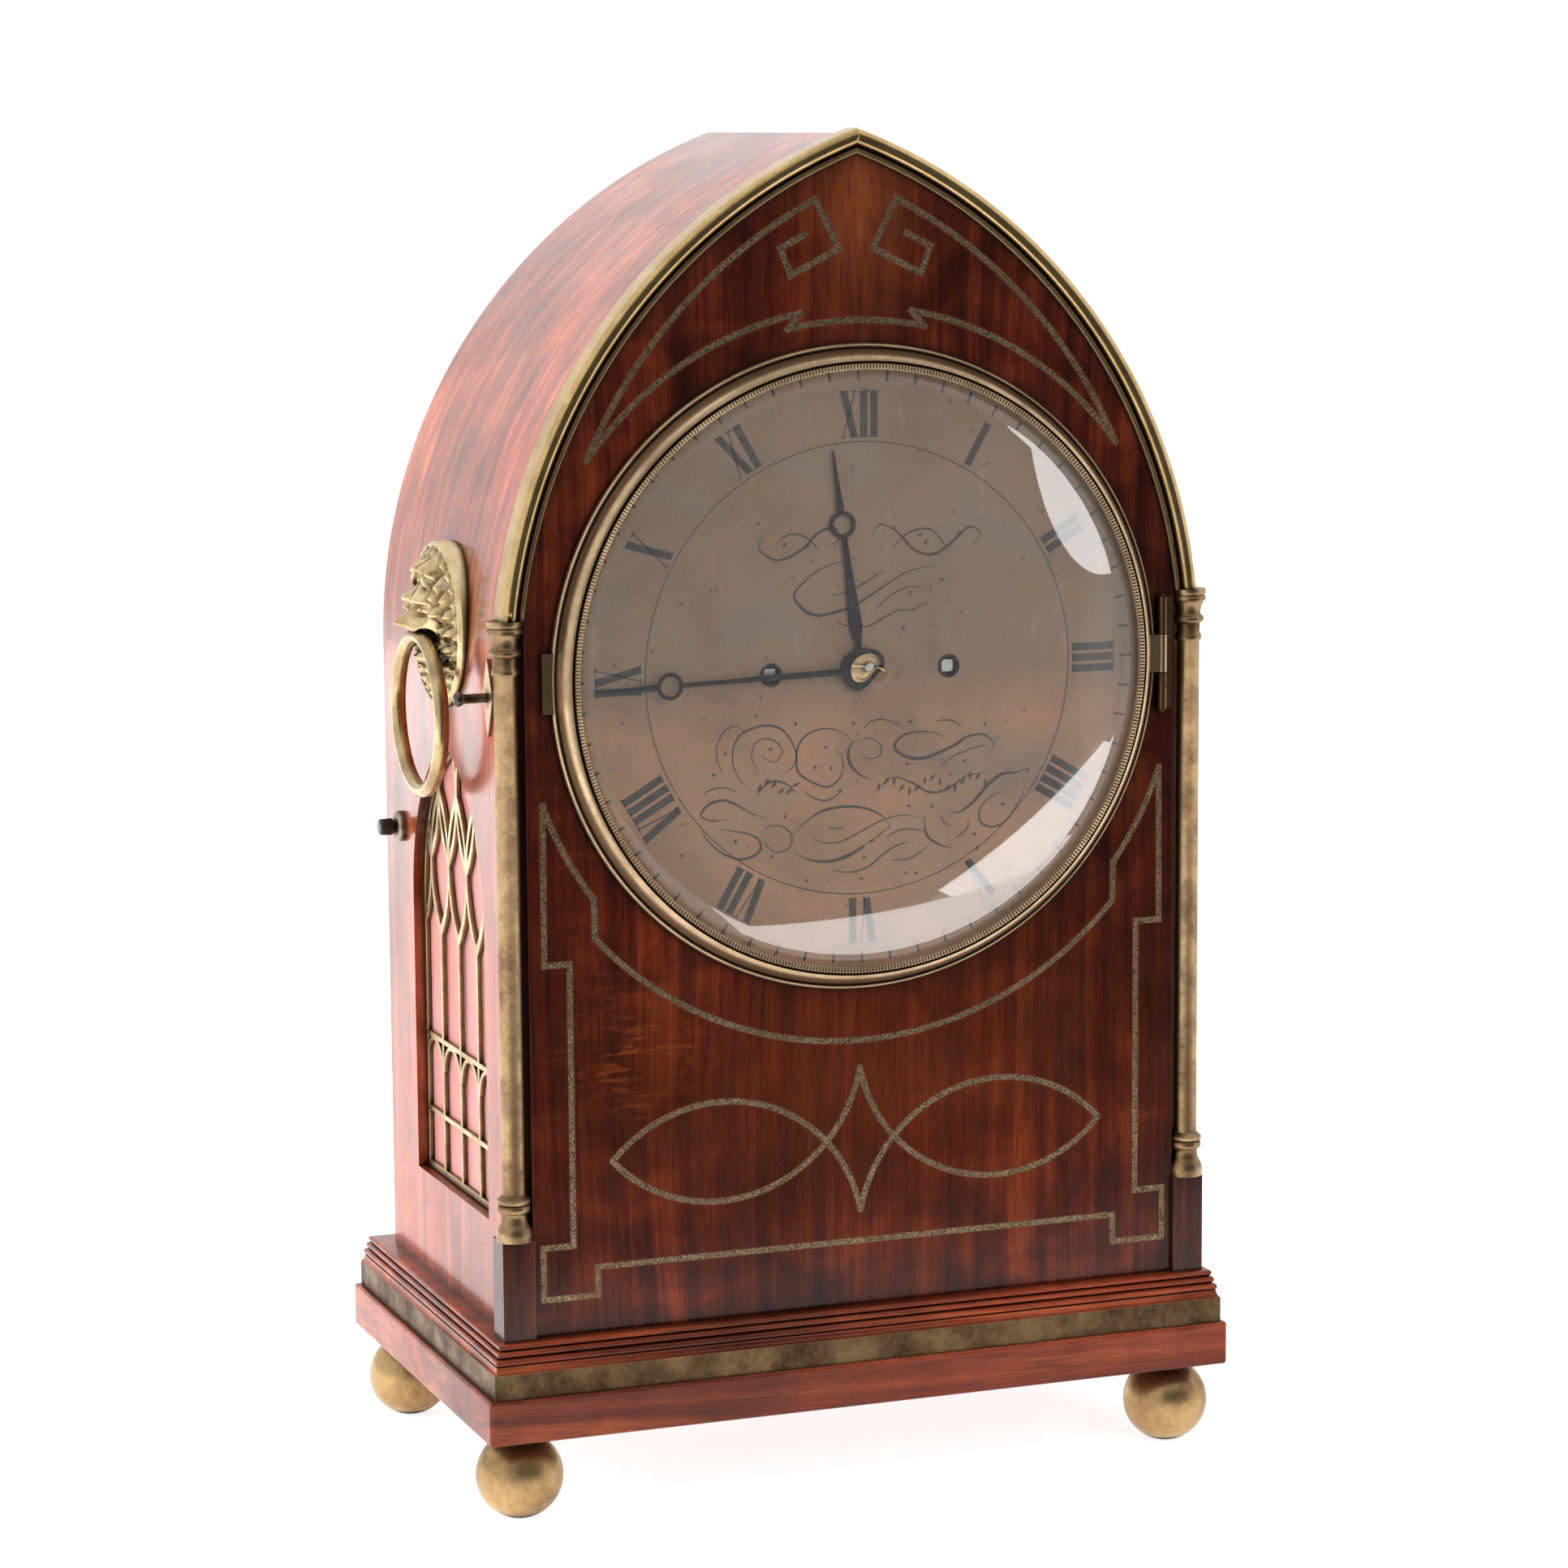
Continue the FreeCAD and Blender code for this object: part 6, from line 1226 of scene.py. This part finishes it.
def faded_silk():
    """Plain-woven silk: warp and weft that catch the light differently, sun-faded in patches."""
    material, tree, shader, place = finish_named("faded_silk")
    parts = fit(tree, "SeparateXYZ", {0: place}).outputs
    warp = sums(tree, "SINE", sums(tree, "MULTIPLY", parts["Y"], 9000.0))
    weft = sums(tree, "SINE", sums(tree, "MULTIPLY", parts["Z"], 7600.0))
    weave = sums(tree, "MULTIPLY_ADD", sums(tree, "MULTIPLY", warp, weft), 0.5, 0.5)
    slub = noise(tree, stretched(tree, place, (60.0, 60.0, 900.0)), 1.0, 3.0)
    fade = noise(tree, stretched(tree, place, (20.0, 20.0, 12.0)), 1.0, 3.0)
    tone = blended(tree, ramp(tree, fade, (0.35, 0.0), (0.65, 1.0)), (0.78, 0.27, 0.24), (0.86, 0.40, 0.36))
    tone = blended(tree, 0.35, tone, ramp(tree, weave, (0.0, 0.72), (1.0, 1.1)), "MULTIPLY")
    tone = blended(tree, 0.30, tone, ramp(tree, slub, (0.3, 0.75), (0.6, 1.1)), "MULTIPLY")
    tree.links.new(tone, shader.inputs["Base Color"])
    tree.links.new(ramp(tree, slub, (0.3, 0.45), (0.7, 0.60)), shader.inputs["Roughness"])
    bumped(tree, shader, weave, 0.3, 0.0002)
    shader.inputs["Sheen Weight"].default_value = 0.4
    shader.inputs["Sheen Roughness"].default_value = 0.35
    return material


def border(rows):
    """The points round the edge of a grid of rows, in order."""
    right = [row[-1] for row in rows[1:]]
    left = [row[0] for row in rows[-2:0:-1]]
    return rows[0] + right + rows[-1][-2::-1] + left


def silk_panel(side, sign, material):
    """Silk cut to the lancet and stretched over its opening, drawn in very slightly between its edges."""
    inner, outer = 0.1197, 0.1201
    radius = (FRET_HALF + FRET_RISE ** 2 / FRET_HALF) / 2
    low = FRET_BASE + 0.0003
    rows, columns = 56, 28
    top = FRET_SPRING + FRET_RISE - 0.0004
    mesh = bmesh.new()
    front, back = [], []
    for row in range(rows + 1):
        z = low + (top - low) * row / rows
        half = FRET_HALF - 0.0003
        if z > FRET_SPRING:
            half = math.sqrt(max(0.0, radius ** 2 - (z - FRET_SPRING) ** 2)) - (radius - FRET_HALF) - 0.0003
        half = max(half, 0.0002)
        one, two = [], []
        for column in range(columns + 1):
            share = 2 * column / columns - 1
            sag = 0.00025 * (1 - share ** 2) * math.sin(math.pi * row / rows)
            ripple = 0.00005 * math.sin(row * 0.9 + column * 1.7)
            place = (MASK_Y + share * half, z)
            one.append(mesh.verts.new((sign * (outer - sag + ripple), *place)))
            two.append(mesh.verts.new((sign * (inner - sag + ripple), *place)))
        front.append(one)
        back.append(two)
    for one, two in zip(front, front[1:]):
        for a, b, c, d in zip(one, one[1:], two[1:], two):
            mesh.faces.new((a, b, c, d))
    for one, two in zip(back, back[1:]):
        for a, b, c, d in zip(one, one[1:], two[1:], two):
            mesh.faces.new((d, c, b, a))
    border_front, border_back = border(front), border(back)
    for k in range(len(border_front)):
        n = (k + 1) % len(border_front)
        mesh.faces.new((border_front[k], border_back[k], border_back[n], border_front[n]))
    piece = piece_from(f"silk_panel_{side}", mesh, material, "case", 40.0, [f"fret_silk_{side}"])
    return piece


silk_finish = faded_silk()
for side, sign in (("left", -1), ("right", 1)):
    carried(f"side_fret_{side}", fret_brass, 30.0, 0.0002)
    silk_panel(side, sign, silk_finish)

# ---------------------------------------------------------------------------
# Small side fittings: the bezel release, a steel rod through a lozenge plate,
# and the repeat pull, a turned black knob on a stem in a brass bush.
# ---------------------------------------------------------------------------


def bright_steel(name, tone_low, tone_high):
    material, tree, shader, place = finish_named(name)
    spot = noise(tree, place, 260.0, 4.0, 0.65)
    tree.links.new(ramp(tree, spot, (0.35, tone_low), (0.65, tone_high)), shader.inputs["Base Color"])
    tree.links.new(ramp(tree, spot, (0.3, 0.38), (0.7, 0.22)), shader.inputs["Roughness"])
    shader.inputs["Metallic"].default_value = 1.0
    return material


def black_knob():
    material, tree, shader, place = finish_named("ebonised_knob")
    spot = noise(tree, place, 500.0, 3.0, 0.6)
    tree.links.new(ramp(tree, spot, (0.3, (0.010, 0.009, 0.009)), (0.7, (0.030, 0.024, 0.022))),
            shader.inputs["Base Color"])
    tree.links.new(ramp(tree, spot, (0.3, 0.22), (0.7, 0.38)), shader.inputs["Roughness"])
    return material


dark_steel = bright_steel("dark_steel", (0.05, 0.045, 0.04), (0.16, 0.13, 0.11))
clean_steel = bright_steel("clean_steel", (0.34, 0.33, 0.32), (0.55, 0.54, 0.52))
carried("release_escutcheon", brass("lozenge_brass", (0.80, 0.62, 0.42), (0.60, 0.44, 0.28), (0.30, 0.45),
        150.0))
carried("release_button", dark_steel, 40.0)
carried("repeat_bush", brass("bush_brass", (0.52, 0.44, 0.34), (0.34, 0.27, 0.19), (0.28, 0.42), 200.0), 40.0)
carried("repeat_knob", black_knob(), 40.0)

# ---------------------------------------------------------------------------
# Back: a frame let into the case and a glazed door hung on two butt hinges,
# with a turned brass knob. Plainer wood than the front, less polished.
# ---------------------------------------------------------------------------
back_wood = mahogany(
    "back_mahogany", turned_grain("X", "Y", "Z"),
    (0.060, 0.014, 0.008), (0.150, 0.038, 0.018), (0.260, 0.074, 0.032), 0.3,
)
door_glass = clock_glass()
door_glass.name = "door_glass"
carried("back_frame", back_wood)
carried("rear_door", back_wood, 35.0)
carried("rear_door_glass", door_glass)
carried("rear_door_hinges", aged_brass, 35.0)
carried("rear_door_fittings", aged_brass, 35.0)
hinge_screws = [(0.1160, 0.0824, low + step) for low in (0.1255, 0.2595) for step in (0.0, 0.0065)]
screw_heads("door_hinge_screws", hinge_screws, (0, 1, 0), 0.0012, clean_steel, "rear_door")

# ---------------------------------------------------------------------------
# Movement on its seat board: two brass plates on turned pillars, two spring
# barrels and fusees, the wheels, an anchor escapement, pendulum and bell.
# ---------------------------------------------------------------------------


def oak():
    material, tree, shader, place = finish_named("oak_board")
    bands = noise(tree, stretched(tree, place, (6.0, 160.0, 160.0)), 1.0, 5.0, 0.65)
    tone = ramp(tree, bands, (0.34, (0.14, 0.075, 0.035)), (0.66, (0.32, 0.19, 0.095)))
    tree.links.new(tone, shader.inputs["Base Color"])
    shader.inputs["Roughness"].default_value = 0.62
    bumped(tree, shader, bands, 0.2, 0.0005)
    return material


def movement_metal(name, steel_within, centres):
    """Brass that turns to steel within a radius of any of the arbors' centres."""
    material = brass(name, (0.74, 0.54, 0.26), (0.52, 0.36, 0.16), (0.22, 0.36), 55.0)
    tree = material.node_tree
    shader = tree.nodes["Principled BSDF"]
    place = fit(tree, "TexCoord").outputs["Object"]
    parts = fit(tree, "SeparateXYZ", {0: place}).outputs
    near = None
    for x, z in centres:
        dx = sums(tree, "POWER", sums(tree, "SUBTRACT", parts["X"], x), 2.0)
        dz = sums(tree, "POWER", sums(tree, "SUBTRACT", parts["Z"], z), 2.0)
        inside = sums(tree, "LESS_THAN", sums(tree, "ADD", dx, dz), steel_within ** 2)
        near = inside if near is None else sums(tree, "MAXIMUM", near, inside)
    old = shader.inputs["Base Color"].links[0].from_socket
    tree.links.new(blended(tree, near, old, (0.46, 0.45, 0.44)), shader.inputs["Base Color"])
    return material


carried("seat_board", oak())
plate_brass = brass("plate_brass", (0.76, 0.56, 0.27), (0.56, 0.39, 0.18), (0.24, 0.38), 32.0)
ARBORS = [(0.0, 0.285), (0.036, 0.232), (-0.036, 0.232), (0.0322, 0.2845), (-0.0322, 0.2845), (0.0, 0.318)]
train_metal = movement_metal("train_metal", 0.0031, ARBORS)
for node in ("front_plate", "back_plate", "plate_pillars"):
    carried(node, plate_brass, 30.0)
drums = ("going_barrel", "going_fusee", "strike_barrel", "strike_fusee")
for node in drums + ("centre_arbor", "minute_wheel", "hour_wheel", "escape_wheel"):
    carried(node, train_metal, 30.0)
carried("pallets_and_crutch", clean_steel, 30.0)
carried("pendulum", brass("pendulum_brass", (0.76, 0.55, 0.25), (0.50, 0.34, 0.15), (0.16, 0.30), 40.0), 30.0)
carried("bell", brass("bell_metal", (0.62, 0.50, 0.32), (0.42, 0.31, 0.18), (0.24, 0.40), 45.0), 30.0)
carried("bell_stand", clean_steel, 30.0)
carried("hammer", clean_steel, 30.0)
plate_screws = [(x, 0.0, z) for x in (-0.054, 0.054) for z in (0.208, 0.357)]
screw_heads("back_plate_screws", [(x, -0.00225, z) for x, _, z in plate_screws], (0, 1, 0), 0.0032,
        clean_steel, "case")

# ---------------------------------------------------------------------------
# Studio: a white sheet under the clock that ends a little in front of it, a wide
# white wall behind and to the sides, a dark room in front, soft lamps on the
# left, and white cards that only the reflections in the glass dome show.
# ---------------------------------------------------------------------------


def white_to_see(tree):
    """A mask of the rays that show the backdrop: from the camera, off polish and through glass."""
    path = fit(tree, "LightPath").outputs
    mirrored = sums(tree, "MAXIMUM", path["Is Glossy Ray"], path["Is Transmission Ray"])
    return sums(tree, "MAXIMUM", path["Is Camera Ray"], mirrored)


def pale_sheet():
    """White to the camera and in reflections, but it keeps the clock's shadow."""
    material, tree, shader, place = finish_named("white_sheet")
    grain = noise(tree, place, 30.0, 3.0)
    tree.links.new(ramp(tree, grain, (0.3, 0.86), (0.7, 0.90)), shader.inputs["Base Color"])
    shader.inputs["Roughness"].default_value = 0.9
    shader.inputs["Specular IOR Level"].default_value = 0.1
    shader.inputs["Emission Color"].default_value = (1.0, 1.0, 1.0, 1.0)
    tree.links.new(sums(tree, "MULTIPLY", white_to_see(tree), 0.80), shader.inputs["Emission Strength"])
    return material


sheet_mesh = bmesh.new()
edge = ((-2.2, -0.37), (0.20, -0.37), (0.95, -0.76), (2.4, -1.5), (2.4, 3.2), (-2.2, 3.2))
sheet_mesh.faces.new([sheet_mesh.verts.new((x, y, 0.0)) for x, y in edge])
sheet_data = bpy.data.meshes.new("white_sheet")
sheet_mesh.to_mesh(sheet_data)
sheet_mesh.free()
sheet_data.materials.append(pale_sheet())
sheet = bpy.data.objects.new("white_sheet", sheet_data)
bpy.context.scene.collection.objects.link(sheet)

world = bpy.data.worlds.new("studio_white")
bpy.context.scene.world = world
world.use_nodes = True
sky = world.node_tree
backdrop = sky.nodes["Background"]
backdrop.inputs["Color"].default_value = (1.0, 1.0, 1.0, 1.0)
way = fit(sky, "SeparateXYZ", {0: fit(sky, "TexCoord").outputs["Generated"]}).outputs
round_to = sums(sky, "ARCTAN2", way["X"], sums(sky, "MULTIPLY", way["Y"], -1.0))


def eased(value, low, high):
    return fit(sky, "MapRange", {0: value, 1: low, 2: high}, interpolation_type="SMOOTHSTEP").outputs[0]


room = sums(sky, "MULTIPLY", eased(round_to, -0.85, -0.40), sums(sky, "SUBTRACT", 1.0, eased(round_to,
        0.79, 0.87)))
room = sums(sky, "MULTIPLY", room, sums(sky, "SUBTRACT", 1.0, sums(sky, "MULTIPLY", eased(way["Z"], 0.35,
        0.80), 0.6)))
shown = sums(sky, "MULTIPLY_ADD", room, -0.90, 1.0)
path = fit(sky, "LightPath").outputs
plain = sums(sky, "MAXIMUM", path["Is Camera Ray"], path["Is Transmission Ray"])
in_polish = sums(sky, "MULTIPLY", path["Is Glossy Ray"], shown)
strength = sums(sky, "MAXIMUM", sums(sky, "MAXIMUM", plain, in_polish), sums(sky, "MULTIPLY",
        path["Is Diffuse Ray"], 0.42))
sky.links.new(strength, backdrop.inputs["Strength"])


def softbox(name, place, target, size, power, polish=False, spin=0.0):
    """A rectangular soft light. With polish it is a card that only the reflections in the glass dome show."""
    lamp = bpy.data.lights.new(name, "AREA")
    lamp.shape = "RECTANGLE"
    lamp.size, lamp.size_y = size
    lamp.energy = power
    light = bpy.data.objects.new(name, lamp)
    light.location = place
    light.rotation_mode = "QUATERNION"
    facing = (Vector(place) - Vector(target)).to_track_quat("Z", "Y")
    light.rotation_quaternion = facing @ Matrix.Rotation(math.radians(spin), 3, "Z").to_quaternion()
    light.visible_camera = False
    light.visible_glossy = polish
    light.visible_diffuse = not polish
    light.visible_transmission = False
    if polish:
        light.light_linking.receiver_collection = dome_only
    bpy.context.scene.collection.objects.link(light)
    return light


dome_only = bpy.data.collections.new("glass_dome")
dome_only.objects.link(dome_glass)
middle = (0.0, 0.0, 0.22)
softbox("left_window", (-1.5, -0.2, 0.9), middle, (1.2, 1.6), 16.0)
softbox("left_wash", (-1.3, 1.9, 0.6), middle, (1.8, 1.8), 55.0)
softbox("front_fill", (0.6, -2.2, 1.1), middle, (1.4, 1.0), 12.0)
softbox("card_low_front", (0.20, -0.285, 0.002), (0.20, -0.285, 1.0), (0.50, 0.17), 2.2, True)
softbox("card_low_right", (0.575, -0.475, 0.002), (0.575, -0.475, 1.0), (0.70, 0.15), 4.0, True, 26.0)
softbox("card_right", (1.22, -1.02, 0.66), (0.06, -0.08, 0.35), (0.44, 0.66), 9.0,
        True).data.shape = "ELLIPSE"

# ---------------------------------------------------------------------------
# Camera: a long lens in front and to the left, a little above the dial.
# ---------------------------------------------------------------------------
YAW, PITCH, ROLL = math.radians(-20.734), math.radians(-8.485), math.radians(-0.421)
forward = Vector((-math.sin(YAW) * math.cos(PITCH), math.cos(YAW) * math.cos(PITCH), math.sin(PITCH)))
level = forward.cross(Vector((0.0, 0.0, 1.0))).normalized()
above = level.cross(forward)
camera_x = level * math.cos(ROLL) + above * math.sin(ROLL)
camera_y = above * math.cos(ROLL) - level * math.sin(ROLL)
lens = bpy.data.cameras.new("camera")
lens.lens = 102.99
lens.sensor_width = 36.0
camera = bpy.data.objects.new("camera", lens)
camera.rotation_mode = "QUATERNION"
camera.rotation_quaternion = Matrix((camera_x, camera_y, -forward)).transposed().to_quaternion()
camera.location = (-0.5562, -1.4689, 0.4701)
bpy.context.scene.collection.objects.link(camera)
bpy.context.scene.camera = camera
bpy.context.scene.view_settings.view_transform = "Standard"
